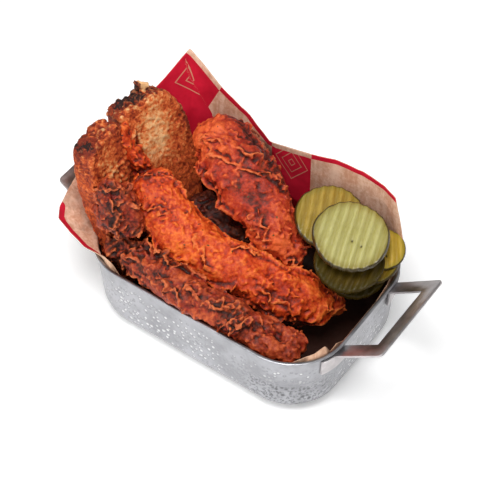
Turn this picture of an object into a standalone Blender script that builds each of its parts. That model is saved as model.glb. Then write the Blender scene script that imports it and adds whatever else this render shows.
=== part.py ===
"""Chicken tenders, grilled toast and pickle chips in a hammered steel basket with a paper liner.

X runs along the basket, +Y is the back long side, Z is up and the underside rests on z = 0.
"""

import math

import bmesh
import bpy
from mathutils import Matrix, Vector, noise
from mathutils.bvhtree import BVHTree

COLLECTION = "tenders_basket"

# Points closer than this are one point, and a level distance shorter than this counts as none.
TOUCHING = 0.00001

# The pan, in metres.
PAN_LENGTH = 0.165
PAN_WIDTH = 0.115
PAN_HEIGHT = 0.050
PAN_CORNER = 0.034
PAN_TAPER = 0.06
PAN_FILLET = 0.011
PAN_WALL = 0.001
LIP_WIDTH = 0.0012
CORNER_STEPS = 8
FILLET_STEPS = 4
LEAST_CORNER = 0.004

# The two handles.
HANDLE_REACH = 0.0288
HANDLE_HALF_WIDTH = 0.0319
HANDLE_STRIP = 0.0092
HANDLE_THICKNESS = 0.0013
HANDLE_FOOT_Z = 0.0468
HANDLE_TOP_Z = 0.0690
HANDLE_CORNER = 0.0025
HANDLE_CORNER_STEPS = 3
TAB_INNER_Y = 0.0227
TAB_OUTER_Y = 0.0395
TAB_BOTTOM_Z = 0.0350
TAB_STEPS = 6

# Space kept between pieces that touch. A cutter grows by a multiple of it, as a corner's normal leans.
GAP = 0.0003
GROWTH = 2.0

# The paper liner.
PAPER_THICKNESS = 0.0005
PAPER_LOOP_POINTS = 80
PAPER_HIDDEN_TOP = 0.041
PAPER_RIM = 0.0509
# Rows of the sheet: shares of the floor, heights on the wall, and shares of the way from the rim to the edge.
PAPER_FLOOR_SHARES = (0.30, 0.62)
PAPER_LOW_ROW = 0.026
PAPER_HIGH_ROW = 0.037
PAPER_EDGE_SHARES = (0.3, 0.65, 1.0)
# An edge less than this above the rim stays low; its last row on the wall lies at this share of the way up.
PAPER_RIM_MARGIN = 0.0006
PAPER_LOW_EDGE_SHARE = 0.6
# Anchor on the rim (x, y), then the paper's free edge above it (x, y, z), all in mm.
PAPER_EDGE = (
    ((-44, -57), (-44, -55.0, 42.0)),
    ((-50, -56), (-50, -54.5, 46.0)),
    ((-55, -56), (-55.5, -53.8, 51.8)),
    ((-61, -55), (-61.5, -53.2, 53.0)),
    ((-66, -54), (-72.5, -56.6, 56.4)),
    ((-72, -49), (-85.0, -54.6, 60.0)),
    ((-77, -43), (-95.4, -51.5, 62.2)),
    ((-79, -38), (-98.8, -46.0, 65.0)),
    ((-81, -30), (-101.2, -35.0, 68.4)),
    ((-82, -18), (-103.0, -22.0, 72.0)),
    ((-82, 0), (-101.5, 0.0, 80.0)),
    ((-82, 20), (-97.0, 23.0, 88.0)),
    ((-80, 36), (-90.0, 45.0, 101.4)),
    ((-73, 48), (-82.3, 60.0, 117.4)),
    ((-60, 56), (-58.5, 59.0, 99.2)),
    ((-38, 57), (-38.1, 58.0, 89.6)),
    ((-30, 57), (-30.0, 57.8, 82.4)),
    ((-24, 57), (-23.6, 57.6, 77.0)),
    ((-19, 57), (-19.0, 57.0, 78.4)),
    ((6, 57), (6.4, 57.0, 84.4)),
    ((22, 57), (22.5, 57.0, 89.4)),
    ((41, 57), (41.3, 56.0, 92.4)),
    ((57, 55), (57.0, 53.6, 92.0)),
    ((66, 52), (67.2, 49.0, 92.6)),
    ((71, 48), (71.6, 48.6, 78.0)),
    ((75, 45), (75.6, 46.8, 66.0)),
    ((77, 42), (78.2, 43.4, 54.6)),
    ((80, 35), (78.2, 34.6, 52.0)),
    ((82, 26), (79.8, 26.0, 48.6)),
    ((82, 16), (79.2, 16.0, 43.0)),
    ((82, -18), (79.2, -18.0, 43.0)),
    ((81, -27), (80.0, -26.6, 50.4)),
    ((80, -31), (79.0, -31.0, 47.0)),
    ((78, -36), (77.4, -34.6, 54.6)),
    ((75, -42), (74.6, -40.4, 52.0)),
    ((70, -48), (70.0, -47.4, 50.8)),
    ((64, -53), (64.0, -51.8, 46.0)),
    ((50, -57), (50.0, -55.2, 42.0)),
)

# Toasts: middle of the front face's top edge, yaw and lean in degrees, thickness in metres.
TOAST_THICKNESS = 0.0150
TOAST_EDGE = 0.0015
TOAST_EDGE_INSET = 0.0012
TOAST_WAVE_SIZE = 0.009
TOAST_WAVE_HEIGHT = 0.0009
TOAST_A_TOP = (-0.0780, 0.0105, 0.1150)
TOAST_A_YAW = 14.0
TOAST_A_LEAN = 16.0
# Front face outlines: across (towards the back of the pan) and down, in mm.
TOAST_A_OUTLINE = (
    (-17.5, 3.0), (-14.5, 0.0), (-9.0, -1.0), (-2.0, 0.5), (5.0, -1.0), (12.5, 0.0), (17.0, 2.5),
    (21.0, 9.0), (24.5, 18.0), (26.5, 29.0), (26.8, 45.0), (25.8, 62.0), (24.0, 82.0), (21.0, 100.0),
    (15.0, 104.5), (-12.0, 105.5), (-17.0, 102.0), (-18.0, 84.0), (-17.2, 60.0), (-18.4, 36.0), (-17.6, 18.0),
)
TOAST_B_TOP = (-0.0788, -0.0225, 0.1150)
TOAST_B_YAW = 0.0
TOAST_B_LEAN = 12.0
TOAST_B_OUTLINE = (
    (-11.5, 2.0), (-6.0, 0.5), (0.0, 1.0), (6.0, -1.0), (11.0, -0.5), (12.5, 4.0), (12.5, 40.0),
    (12.5, 102.0), (8.0, 105.0), (-12.0, 104.0), (-18.5, 97.0), (-20.0, 80.0), (-20.5, 60.0), (-20.0, 42.0),
    (-19.5, 26.0), (-17.0, 13.0), (-14.5, 6.0),
)

# Tenders: x, y, z of the spine, half width and half thickness, all in mm.
TENDER_1 = (
    (-61.5, -10.3, 86.0, 12.4, 8.0), (-47.2, -16.8, 73.0, 14.6, 12.0), (-28.0, -21.1, 63.0, 15.0, 13.5),
    (-9.4, -18.9, 56.0, 14.4, 14.0), (10.2, -13.2, 48.0, 14.4, 14.0), (29.1, -7.2, 40.0, 15.0, 13.0),
    (42.8, 1.4, 32.0, 14.3, 11.0), (51.9, 11.0, 26.0, 8.6, 7.5), (58.9, 15.4, 20.0, 4.0, 4.0),
)
TENDER_2 = (
    (-67.0, -42.5, 48.0, 4.5, 4.0), (-58.6, -42.2, 51.0, 6.6, 6.0), (-46.2, -41.1, 54.0, 8.4, 8.0),
    (-30.5, -44.9, 55.0, 10.6, 10.0), (-13.0, -46.5, 54.0, 11.0, 11.0), (6.9, -48.0, 52.0, 11.4, 11.0),
    (23.4, -45.6, 48.0, 12.0, 10.0), (33.9, -43.0, 45.0, 10.0, 8.0),
)
TENDER_2_UPPER = (
    (24.0, -40.5, 47.0, 5.6, 5.2), (46.0, -33.8, 41.5, 6.2, 6.0), (61.2, -30.0, 36.5, 5.6, 5.6),
)
TENDER_2_LOWER = (
    (26.0, -49.0, 48.0, 5.6, 5.2), (46.0, -44.4, 42.5, 6.2, 6.0), (62.6, -37.6, 35.5, 5.4, 5.4),
)
TENDER_3 = (
    (-51.0, 32.5, 98.0, 11.4, 8.0), (-35.4, 27.4, 91.0, 16.6, 12.0), (-18.7, 22.7, 82.0, 17.4, 13.0),
    (-2.6, 17.8, 72.0, 16.8, 13.0), (12.4, 14.4, 60.0, 14.3, 11.5), (24.6, 13.2, 50.0, 10.0, 8.0),
    (30.4, 14.0, 46.0, 6.0, 5.0),
)
TENDER_4 = (
    (-68.3, -36.6, 98.0, 6.7, 5.5), (-61.4, -39.1, 88.0, 11.4, 7.5), (-57.0, -40.0, 77.0, 12.8, 8.5),
    (-56.0, -40.4, 66.0, 10.8, 8.0),
)
TENDER_5 = (
    (-38.0, 44.6, 87.0, 5.6, 5.0), (-28.0, 43.2, 80.0, 7.2, 6.0), (-16.0, 39.4, 71.0, 6.6, 6.0),
    (-4.0, 34.0, 62.0, 5.6, 5.0), (4.0, 31.0, 54.0, 5.0, 5.0),
)
TENDER_6 = (
    (-47.0, 17.0, 52.0, 8.0, 7.0), (-35.0, 12.6, 44.0, 12.0, 11.0), (-18.0, 8.4, 35.0, 13.0, 12.0),
    (2.0, 6.0, 26.0, 12.0, 11.0), (16.0, 4.0, 20.0, 8.0, 8.0),
)
RING_POINTS = 20
RING_SPACING = 0.0048
LEAST_RINGS = 6
# How much squarer than an ellipse a tender's section is, and how far along the spine its direction is read.
SECTION_POWER = 0.85
SPINE_REACH = 0.02
# A tender's end rounds off over this share of its width, from a small blunt tip.
END_ROUNDING = 0.9
BLUNT_TIP = 0.0008
# Towards a tender's ends the crags shrink later than the section does.
CRAG_GAIN = 1.4
CRAG_SIZE = 0.0095
CRAG_HEIGHT = 0.0022
FINE_CRAG_SIZE = 0.0050
FINE_CRAG_HEIGHT = 0.0012

# Room for food above the rim, where the paper leans out: near side, and per metre of height at the left end.
NEAR_ROOM_START = 0.0015
NEAR_ROOM = 0.0045
LEFT_ROOM_SLOPE = 0.30
LEAST_FOOD_CORNER = 0.006

# Pickle chips: centre in mm, radius in mm, direction faced, direction of the ridges in degrees.
FACING = Vector((0.375, -0.529, 0.762))
PICKLES = {
    "pickle_1": ((54.2, 25.4, 74.0), 22.3, (0.130, -0.180, 0.975), 74.0),
    "pickle_2": ((35.8, 31.8, 72.2), 20.8, (0.120, -0.170, 0.978), 80.0),
    "pickle_3": ((57.8, 19.5, 61.2), 20.5, (0.140, -0.190, 0.972), 66.0),
    "pickle_5": ((70.0, 36.5, 62.5), 12.5, (0.200, -0.260, 0.945), 85.0),
    "pickle_4": ((66.0, 30.0, 56.6), 15.5, (0.120, -0.200, 0.972), 60.0),
    "pickle_6": ((59.2, 23.0, 50.0), 18.5, (0.130, -0.160, 0.978), 70.0),
}
PICKLE_THICKNESS = 0.0036
PICKLE_RIDGE = 0.0006
PICKLE_RIDGE_PITCH = 0.0056
PICKLE_COLUMNS = 34
PICKLE_SPAN = 0.985

COLOURS = {
    "pan": (0.62, 0.62, 0.63),
    "handle_left": (0.45, 0.43, 0.42),
    "handle_right": (0.45, 0.43, 0.42),
    "liner": (0.55, 0.12, 0.12),
    "toast_a": (0.60, 0.28, 0.10),
    "toast_b": (0.50, 0.22, 0.08),
    "tender": (0.58, 0.14, 0.03),
    "pickle": (0.38, 0.38, 0.08),
}
METAL_NODES = ("pan", "handle_left", "handle_right")


def clear_scene():
    for item in list(bpy.data.objects):
        bpy.data.objects.remove(item)


def material(name):
    kind = name if name in COLOURS else name.split("_")[0]
    made = bpy.data.materials.new(name)
    made.use_nodes = True
    shader = made.node_tree.nodes["Principled BSDF"]
    shader.inputs["Base Color"].default_value = (*COLOURS[kind], 1.0)
    shader.inputs["Roughness"].default_value = 0.35 if name in METAL_NODES else 0.6
    shader.inputs["Metallic"].default_value = 1.0 if name in METAL_NODES else 0.0
    return made


def new_object(name, collection):
    item = bpy.data.objects.new(name, bpy.data.meshes.new(name))
    collection.objects.link(item)
    return item


def store(bm, item):
    """Keep the mesh, in triangles so that a grown copy has the same creases."""
    bmesh.ops.remove_doubles(bm, verts=bm.verts, dist=TOUCHING)
    bmesh.ops.triangulate(bm, faces=bm.faces, quad_method="FIXED")
    bmesh.ops.recalc_face_normals(bm, faces=bm.faces)
    bm.to_mesh(item.data)
    bm.free()
    return item


def apply_modifiers(item):
    graph = bpy.context.evaluated_depsgraph_get()
    graph.update()
    result = bpy.data.meshes.new_from_object(item.evaluated_get(graph))
    item.modifiers.clear()
    item.data = result


def boolean(item, other, operation, solver="EXACT"):
    change = item.modifiers.new(operation.lower(), "BOOLEAN")
    change.operation = operation
    change.solver = solver
    change.object = other
    apply_modifiers(item)


# Shape of the basket.


def half_sizes(z, inset):
    """Half length, half width and corner radius of the wall, this far inside its outer face."""
    lean = PAN_TAPER * (PAN_HEIGHT - PAN_WALL - z)
    radius = max(PAN_CORNER - lean - inset, LEAST_CORNER)
    return PAN_LENGTH / 2 - lean - inset, PAN_WIDTH / 2 - lean - inset, radius


def loop_points(z, inset, count):
    """Points round the rounded rectangle at equal steps of its length, from the near side's middle."""
    half_x, half_y, radius = half_sizes(z, inset)
    straight_x = half_x - radius
    straight_y = half_y - radius
    arc = math.pi * radius / 2
    pieces = (straight_x, arc, 2 * straight_y, arc, 2 * straight_x, arc, 2 * straight_y, arc, straight_x)
    total = sum(pieces)
    points = []
    for step in range(count):
        left = total * step / count
        piece = 0
        while piece < 8 and left > pieces[piece]:
            left -= pieces[piece]
            piece += 1
        angle = left / radius
        if piece == 0:
            point = (left, -half_y)
        elif piece == 1:
            point = (straight_x + radius * math.sin(angle), -straight_y - radius * math.cos(angle))
        elif piece == 2:
            point = (half_x, -straight_y + left)
        elif piece == 3:
            point = (straight_x + radius * math.cos(angle), straight_y + radius * math.sin(angle))
        elif piece == 4:
            point = (straight_x - left, half_y)
        elif piece == 5:
            point = (-straight_x - radius * math.sin(angle), straight_y + radius * math.cos(angle))
        elif piece == 6:
            point = (-half_x, straight_y - left)
        elif piece == 7:
            point = (-straight_x - radius * math.cos(angle), -straight_y - radius * math.sin(angle))
        else:
            point = (-straight_x + left, -half_y)
        points.append(Vector((point[0], point[1], z)))
    return points


def away_from_core(point):
    """Level unit vector out from the rectangle between the corner centres."""
    core_x = PAN_LENGTH / 2 - PAN_CORNER
    core_y = PAN_WIDTH / 2 - PAN_CORNER
    x = point.x - max(-core_x, min(core_x, point.x))
    y = point.y - max(-core_y, min(core_y, point.y))
    if abs(x) < TOUCHING:
        x = 0
    if abs(y) < TOUCHING:
        y = 0
    return Vector((x, y, 0)).normalized()


def make_pan(collection):
    bm = bmesh.new()
    bmesh.ops.create_cube(bm, size=1.0)
    height = PAN_HEIGHT - PAN_WALL
    sizes = Vector((PAN_LENGTH, PAN_WIDTH, height))
    bmesh.ops.scale(bm, vec=sizes, verts=bm.verts)
    bmesh.ops.translate(bm, vec=(0, 0, height / 2), verts=bm.verts)
    upright = [e for e in bm.edges if abs(e.verts[0].co.z - e.verts[1].co.z) > height / 2]
    bmesh.ops.bevel(bm, geom=upright, offset=PAN_CORNER, segments=CORNER_STEPS, profile=0.5, affect="EDGES")
    top = [f for f in bm.faces if f.calc_center_median().z > height - PAN_WALL]
    bmesh.ops.delete(bm, geom=top, context="FACES_ONLY")
    lean = PAN_TAPER * height
    for vert in bm.verts:
        if vert.co.z < height / 2:
            vert.co -= away_from_core(vert.co) * lean
    bottom = [e for e in bm.edges if max(v.co.z for v in e.verts) < PAN_WALL]
    bmesh.ops.bevel(
        bm, geom=bottom, offset=PAN_FILLET, segments=FILLET_STEPS, profile=0.5, affect="EDGES",
        loop_slide=True,
    )
    bm.normal_update()
    rim = [e for e in bm.edges if e.is_boundary]
    grown = bmesh.ops.extrude_edge_only(bm, edges=rim)
    for vert in [g for g in grown["geom"] if isinstance(g, bmesh.types.BMVert)]:
        vert.co += away_from_core(vert.co) * LIP_WIDTH
    item = store(bm, new_object("pan", collection))
    turn_outward(item)
    shell = item.modifiers.new("wall", "SOLIDIFY")
    shell.thickness = PAN_WALL
    shell.offset = -1.0
    shell.use_even_offset = True
    apply_modifiers(item)
    return item


def turn_outward(item):
    """Turn an open bowl's faces so that its floor looks down."""
    bm = bmesh.new()
    bm.from_mesh(item.data)
    bm.normal_update()
    floor = min(bm.faces, key=lambda face: face.calc_center_median().z)
    if floor.normal.z > 0:
        bmesh.ops.reverse_faces(bm, faces=bm.faces)
    bm.to_mesh(item.data)
    bm.free()


def wall_point(y, z, out):
    """Point of the end wall's outer face, this far outside it."""
    half_x, half_y, radius = half_sizes(z, -out)
    past = abs(y) - (half_y - radius)
    if past <= 0:
        return Vector((half_x, y, z))
    return Vector((half_x - radius + math.sqrt(max(radius * radius - past * past, 0)), y, z))


def make_handle(name, side, collection, cutters):
    """A strip bent to a U, with a tab down the wall at each arm."""
    foot = HANDLE_FOOT_Z - HANDLE_THICKNESS
    rise = HANDLE_TOP_Z - HANDLE_FOOT_Z
    start = PAN_LENGTH / 2 + GAP + HANDLE_THICKNESS / 2
    end = PAN_LENGTH / 2 + HANDLE_REACH
    slope = math.atan2(rise, end - start)
    length = (end - start) / math.cos(slope)
    bm = bmesh.new()
    outline = (
        (0, -HANDLE_HALF_WIDTH), (length, -HANDLE_HALF_WIDTH), (length, HANDLE_HALF_WIDTH),
        (0, HANDLE_HALF_WIDTH), (0, HANDLE_HALF_WIDTH - HANDLE_STRIP),
        (length - HANDLE_STRIP, HANDLE_HALF_WIDTH - HANDLE_STRIP),
        (length - HANDLE_STRIP, HANDLE_STRIP - HANDLE_HALF_WIDTH), (0, HANDLE_STRIP - HANDLE_HALF_WIDTH),
    )
    flat = bm.faces.new([bm.verts.new((x, y, 0)) for x, y in outline])
    grown = bmesh.ops.extrude_face_region(bm, geom=[flat])
    lifted = [g for g in grown["geom"] if isinstance(g, bmesh.types.BMVert)]
    bmesh.ops.translate(bm, vec=(0, 0, HANDLE_THICKNESS), verts=lifted)
    far = [
        e for e in bm.edges
        if abs(e.verts[0].co.z - e.verts[1].co.z) > HANDLE_THICKNESS / 2
        and min(e.verts[0].co.x, e.verts[1].co.x) > length - TOUCHING
    ]
    bmesh.ops.bevel(
        bm, geom=far, offset=HANDLE_CORNER, segments=HANDLE_CORNER_STEPS, profile=0.5, affect="EDGES"
    )
    bmesh.ops.rotate(bm, cent=(0, 0, 0), matrix=Matrix.Rotation(-slope, 3, "Y"), verts=bm.verts)
    bmesh.ops.translate(bm, vec=(start, 0, foot), verts=bm.verts)
    item = store(bm, new_object(name, collection))
    for half in (-1, 1):
        tab = make_tab(half, cutters)
        boolean(item, tab, "UNION")
        bpy.data.objects.remove(tab)
    if side < 0:
        item.data.transform(Matrix.Rotation(math.pi, 4, "Z"))
    return item


def make_tab(half, cutters):
    bm = bmesh.new()
    rings = []
    for step in range(TAB_STEPS + 1):
        y = half * (TAB_INNER_Y + (TAB_OUTER_Y - TAB_INNER_Y) * step / TAB_STEPS)
        ring = [
            wall_point(y, TAB_BOTTOM_Z, GAP),
            wall_point(y, TAB_BOTTOM_Z, GAP + HANDLE_THICKNESS),
            wall_point(y, HANDLE_FOOT_Z, GAP + HANDLE_THICKNESS),
            wall_point(y, HANDLE_FOOT_Z, GAP),
        ]
        rings.append([bm.verts.new(point) for point in ring])
    join_rings(bm, rings)
    bm.faces.new(rings[0])
    bm.faces.new(rings[-1])
    return store(bm, new_object("tab", cutters))


def join_rings(bm, rings):
    for one, two in zip(rings, rings[1:]):
        count = len(one)
        for i in range(count):
            j = (i + 1) % count
            bm.faces.new((one[i], one[j], two[j], two[i]))


def loop_angle(x, y):
    """Turn round the basket of a point, from the near side's middle towards +X."""
    return math.atan2(x / PAN_LENGTH, -y / PAN_WIDTH) % (2 * math.pi)


def paper_edge_point(angle, hidden):
    """Free edge of the paper at this turn round the basket."""
    keys = sorted((loop_angle(ax, ay), Vector(top) / 1000) for (ax, ay), top in PAPER_EDGE)
    for (low, a), (high, b) in zip(keys, keys[1:]):
        if low <= angle <= high:
            share = (angle - low) / (high - low)
            return a.lerp(b, share)
    return hidden


def pull_into_loop(point, inset):
    """Move a point level to the wall's inside where it is outside it."""
    half_x, half_y, radius = half_sizes(point.z, inset)
    out = away_from_core(point)
    core = Vector((
        max(-half_x + radius, min(half_x - radius, point.x)),
        max(-half_y + radius, min(half_y - radius, point.y)),
        point.z,
    ))
    far = (point - core).length
    return core + out * min(far, radius)


def make_liner(collection):
    """A sheet that follows the pan's inside and stands up at its back and left."""
    inset = PAN_WALL + GAP
    count = PAPER_LOOP_POINTS
    rim = loop_points(PAPER_RIM, inset, count)
    hidden = loop_points(PAPER_HIDDEN_TOP, inset, count)
    floor_z = PAN_WALL + GAP
    bm = bmesh.new()
    rows = []
    bend = PAN_FILLET - PAN_WALL - GAP
    for share in PAPER_FLOOR_SHARES:
        ring = loop_points(floor_z, inset + bend, count)
        rows.append([Vector((p.x * share, p.y * share, floor_z)) for p in ring])
    for step in range(FILLET_STEPS + 1):
        turn = math.pi / 2 * step / FILLET_STEPS
        z = floor_z + bend * (1 - math.cos(turn))
        rows.append(loop_points(z, inset + bend * (1 - math.sin(turn)), count))
    rows.append(loop_points(PAPER_LOW_ROW, inset, count))
    tops = []
    for point, low in zip(rim, hidden):
        top = paper_edge_point(loop_angle(point.x, point.y), low)
        if top.z < PAPER_RIM:
            top = pull_into_loop(top, inset)
        tops.append(top)
    rows.append(loop_points(PAPER_HIGH_ROW, inset, count))
    rows.append([
        p if top.z > PAPER_RIM + PAPER_RIM_MARGIN else low.lerp(top, PAPER_LOW_EDGE_SHARE)
        for p, low, top in zip(rim, rows[-1], tops)
    ])
    base = rows[-1]
    for share in PAPER_EDGE_SHARES:
        rows.append([low.lerp(top, share) for low, top in zip(base, tops)])
    rings = [[bm.verts.new(p) for p in row] for row in rows]
    join_rings(bm, rings)
    bm.faces.new(rings[0])
    item = store(bm, new_object("liner", collection))
    turn_outward(item)
    shell = item.modifiers.new("paper", "SOLIDIFY")
    shell.thickness = PAPER_THICKNESS
    shell.offset = -1.0
    shell.use_even_offset = False
    apply_modifiers(item)
    return item


# Food.


def keep_inside(point):
    """Move a point of food to inside the liner."""
    inset = PAN_WALL + PAPER_THICKNESS + 3 * GAP
    floor = inset
    z = max(point.z, floor)
    low = min(z, PAN_HEIGHT)
    half_x, half_y, radius = half_sizes(low, inset)
    bend = PAN_FILLET
    if z < bend:
        bend_in = bend - math.sqrt(max(bend * bend - (bend - z + floor) ** 2, 0))
        half_x -= bend_in
        half_y -= bend_in
        radius = max(radius - bend_in, LEAST_FOOD_CORNER)
    if z > PAN_HEIGHT + NEAR_ROOM_START and point.y < 0:
        half_y += NEAR_ROOM
    left_room = 0.0
    if z > PAN_HEIGHT and point.x < 0:
        left_room = (z - PAN_HEIGHT) * LEFT_ROOM_SLOPE
    centre_x = half_x - radius
    centre_y = half_y - radius
    x = point.x
    if x < 0:
        x = min(x + left_room, 0)
    dx = x - max(-centre_x, min(centre_x, x))
    dy = point.y - max(-centre_y, min(centre_y, point.y))
    far = math.hypot(dx, dy)
    if far <= radius:
        return Vector((point.x, point.y, z))
    x += dx * (radius / far - 1)
    y = point.y + dy * (radius / far - 1)
    if point.x < 0:
        x -= left_room
    return Vector((x, y, z))


def spline(keys, t):
    """Catmull-Rom value of a table of tuples at t from 0 to 1."""
    last = len(keys) - 1
    at = t * last
    i = min(int(at), last - 1)
    f = at - i
    p0 = keys[max(i - 1, 0)]
    p1 = keys[i]
    p2 = keys[i + 1]
    p3 = keys[min(i + 2, last)]
    values = []
    for a, b, c, d in zip(p0, p1, p2, p3):
        bend = 2 * a - 5 * b + 4 * c - d
        twist = 3 * b - a - 3 * c + d
        values.append(0.5 * (2 * b + (c - a) * f + bend * f * f + twist * f ** 3))
    return values


def crag(point, seed):
    shift = Vector((seed * 3.7, seed * 1.9, seed * 5.3))
    coarse = noise.noise(point / CRAG_SIZE + shift)
    fine = noise.noise(point / FINE_CRAG_SIZE + shift * 2)
    return CRAG_HEIGHT * coarse + FINE_CRAG_HEIGHT * fine


def make_tender(name, keys, seed, collection, grow=0.0):
    """Rings along a spine, closed at both ends, roughened by noise and grown by a distance."""
    keys = [tuple(v / 1000 for v in key) for key in keys]
    length = sum((Vector(b[:3]) - Vector(a[:3])).length for a, b in zip(keys, keys[1:]))
    rings_count = max(LEAST_RINGS, int(length / RING_SPACING))
    first_width = keys[0][3] * END_ROUNDING
    last_width = keys[-1][3] * END_ROUNDING
    bm = bmesh.new()
    rings = []
    for ring in range(rings_count + 1):
        t = ring / rings_count
        x, y, z, width, thick = spline(keys, t)
        ahead = Vector(spline(keys, min(t + SPINE_REACH, 1.0))[:3])
        behind = Vector(spline(keys, max(t - SPINE_REACH, 0.0))[:3])
        along = (ahead - behind).normalized()
        centre = Vector((x, y, z))
        if ring in (0, rings_count):
            centre += along * math.copysign(grow, ring - 1)
        across = along.cross(FACING).normalized()
        outward = across.cross(along).normalized()
        run = t * length
        rounding = min(1.0, (run + BLUNT_TIP) / first_width, (length - run + BLUNT_TIP) / last_width)
        scale = math.sqrt(1 - (1 - rounding) ** 2)
        points = []
        for i in range(RING_POINTS):
            angle = 2 * math.pi * i / RING_POINTS
            side = math.copysign(abs(math.cos(angle)) ** SECTION_POWER, math.cos(angle)) * width * scale
            up = math.copysign(abs(math.sin(angle)) ** SECTION_POWER, math.sin(angle)) * thick * scale
            point = centre + across * side + outward * up
            direction = (point - centre).normalized()
            point += direction * (crag(point, seed) * min(1.0, scale * CRAG_GAIN) + grow)
            points.append(bm.verts.new(keep_inside(point)))
        rings.append(points)
    join_rings(bm, rings)
    for end in (rings[0], rings[-1]):
        middle = sum((v.co for v in end), Vector()) / len(end)
        pole = bm.verts.new(middle)
        for i in range(len(end)):
            bm.faces.new((end[i], end[(i + 1) % len(end)], pole))
    return store(bm, new_object(name, collection))


def make_toast(name, top, yaw, lean, outline, seed, collection):
    yaw = math.radians(yaw)
    lean = math.radians(lean)
    across = Vector((math.sin(yaw), math.cos(yaw), 0))
    level = Vector((math.cos(yaw), -math.sin(yaw), 0))
    down = level * math.sin(lean) + Vector((0, 0, -math.cos(lean)))
    facing = level * math.cos(lean) + Vector((0, 0, math.sin(lean)))
    start = Vector(top)
    bm = bmesh.new()
    loops = []
    middle_u = sum(u for u, v in outline) / len(outline)
    middle_v = sum(v for u, v in outline) / len(outline)
    depths = (0.0, TOAST_EDGE, TOAST_THICKNESS / 2, TOAST_THICKNESS - TOAST_EDGE, TOAST_THICKNESS)
    for back in depths:
        shrink = TOAST_EDGE_INSET if back in (0.0, TOAST_THICKNESS) else 0.0
        loop = []
        for u, v in outline:
            pull = Vector((middle_u - u, middle_v - v)).normalized() * shrink
            point = start + across * (u / 1000 + pull.x) + down * (v / 1000 + pull.y) - facing * back
            rough = noise.noise(point / TOAST_WAVE_SIZE + Vector((seed, seed, seed))) * TOAST_WAVE_HEIGHT
            point -= facing * rough * (0 if 0.0 < back < TOAST_THICKNESS else 1)
            point += across * rough
            loop.append(bm.verts.new(keep_inside(point)))
        loops.append(loop)
    join_rings(bm, loops)
    bm.faces.new(loops[0])
    bm.faces.new(loops[-1])
    return store(bm, new_object(name, collection))


def make_pickle(name, centre, radius, facing, ridges, collection):
    """A round chip, cut in ridges: one box section for each column across it."""
    normal = Vector(facing).normalized()
    level = Vector((0, 0, 1)).cross(normal).normalized()
    rise = normal.cross(level)
    turn = math.radians(ridges)
    ridge_way = level * math.cos(turn) + rise * math.sin(turn)
    column_way = normal.cross(ridge_way)
    centre = Vector(centre) / 1000
    radius /= 1000
    bm = bmesh.new()
    rings = []
    for i in range(PICKLE_COLUMNS + 1):
        across = (2 * i / PICKLE_COLUMNS - 1) * PICKLE_SPAN
        chord = math.sqrt(max(1 - across * across, 0)) * radius
        wave = PICKLE_RIDGE * math.sin(2 * math.pi * across * radius / PICKLE_RIDGE_PITCH)
        middle = centre + column_way * across * radius + normal * wave
        half = normal * PICKLE_THICKNESS / 2
        corners = (
            middle + ridge_way * chord + half, middle + half, middle - ridge_way * chord + half,
            middle - ridge_way * chord - half, middle - half, middle + ridge_way * chord - half,
        )
        rings.append([bm.verts.new(p) for p in corners])
    join_rings(bm, rings)
    bm.faces.new(rings[0])
    bm.faces.new(rings[-1])
    return store(bm, new_object(name, collection))


def inflated(item, collection):
    """A copy of a piece, grown by the gap that touching pieces keep."""
    bm = bmesh.new()
    bm.from_mesh(item.data)
    bm.normal_update()
    moves = [(v, v.normal.copy()) for v in bm.verts]
    for vert, normal in moves:
        vert.co += normal * GAP * GROWTH
    grown = new_object(item.name + "_grown", collection)
    bm.to_mesh(grown.data)
    bm.free()
    return grown


def keep_largest(item):
    """Drop loose scraps that a cut left."""
    bm = bmesh.new()
    bm.from_mesh(item.data)
    bmesh.ops.triangulate(bm, faces=bm.faces)
    bm.faces.ensure_lookup_table()
    seen = set()
    islands = []
    for face in bm.faces:
        if face.index in seen:
            continue
        island = []
        queue = [face]
        seen.add(face.index)
        while queue:
            one = queue.pop()
            island.append(one)
            for edge in one.edges:
                for other in edge.link_faces:
                    if other.index not in seen:
                        seen.add(other.index)
                        queue.append(other)
        islands.append(island)
    islands.sort(key=lambda group: sum(f.calc_area() for f in group))
    for island in islands[:-1]:
        bmesh.ops.delete(bm, geom=island, context="FACES")
    loose = [v for v in bm.verts if not v.link_faces]
    bmesh.ops.delete(bm, geom=loose, context="VERTS")
    bm.to_mesh(item.data)
    bm.free()


def overlaps(one, two):
    trees = []
    for item in (one, two):
        bm = bmesh.new()
        bm.from_mesh(item.data)
        trees.append(BVHTree.FromBMesh(bm))
        bm.free()
    return bool(trees[0].overlap(trees[1]))


def carve(item, grown_pieces):
    """Cut from a piece the room that grown copies of others take."""
    for grown in grown_pieces:
        if overlaps(item, grown):
            boolean(item, grown, "DIFFERENCE", "MANIFOLD")
            keep_largest(item)


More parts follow.
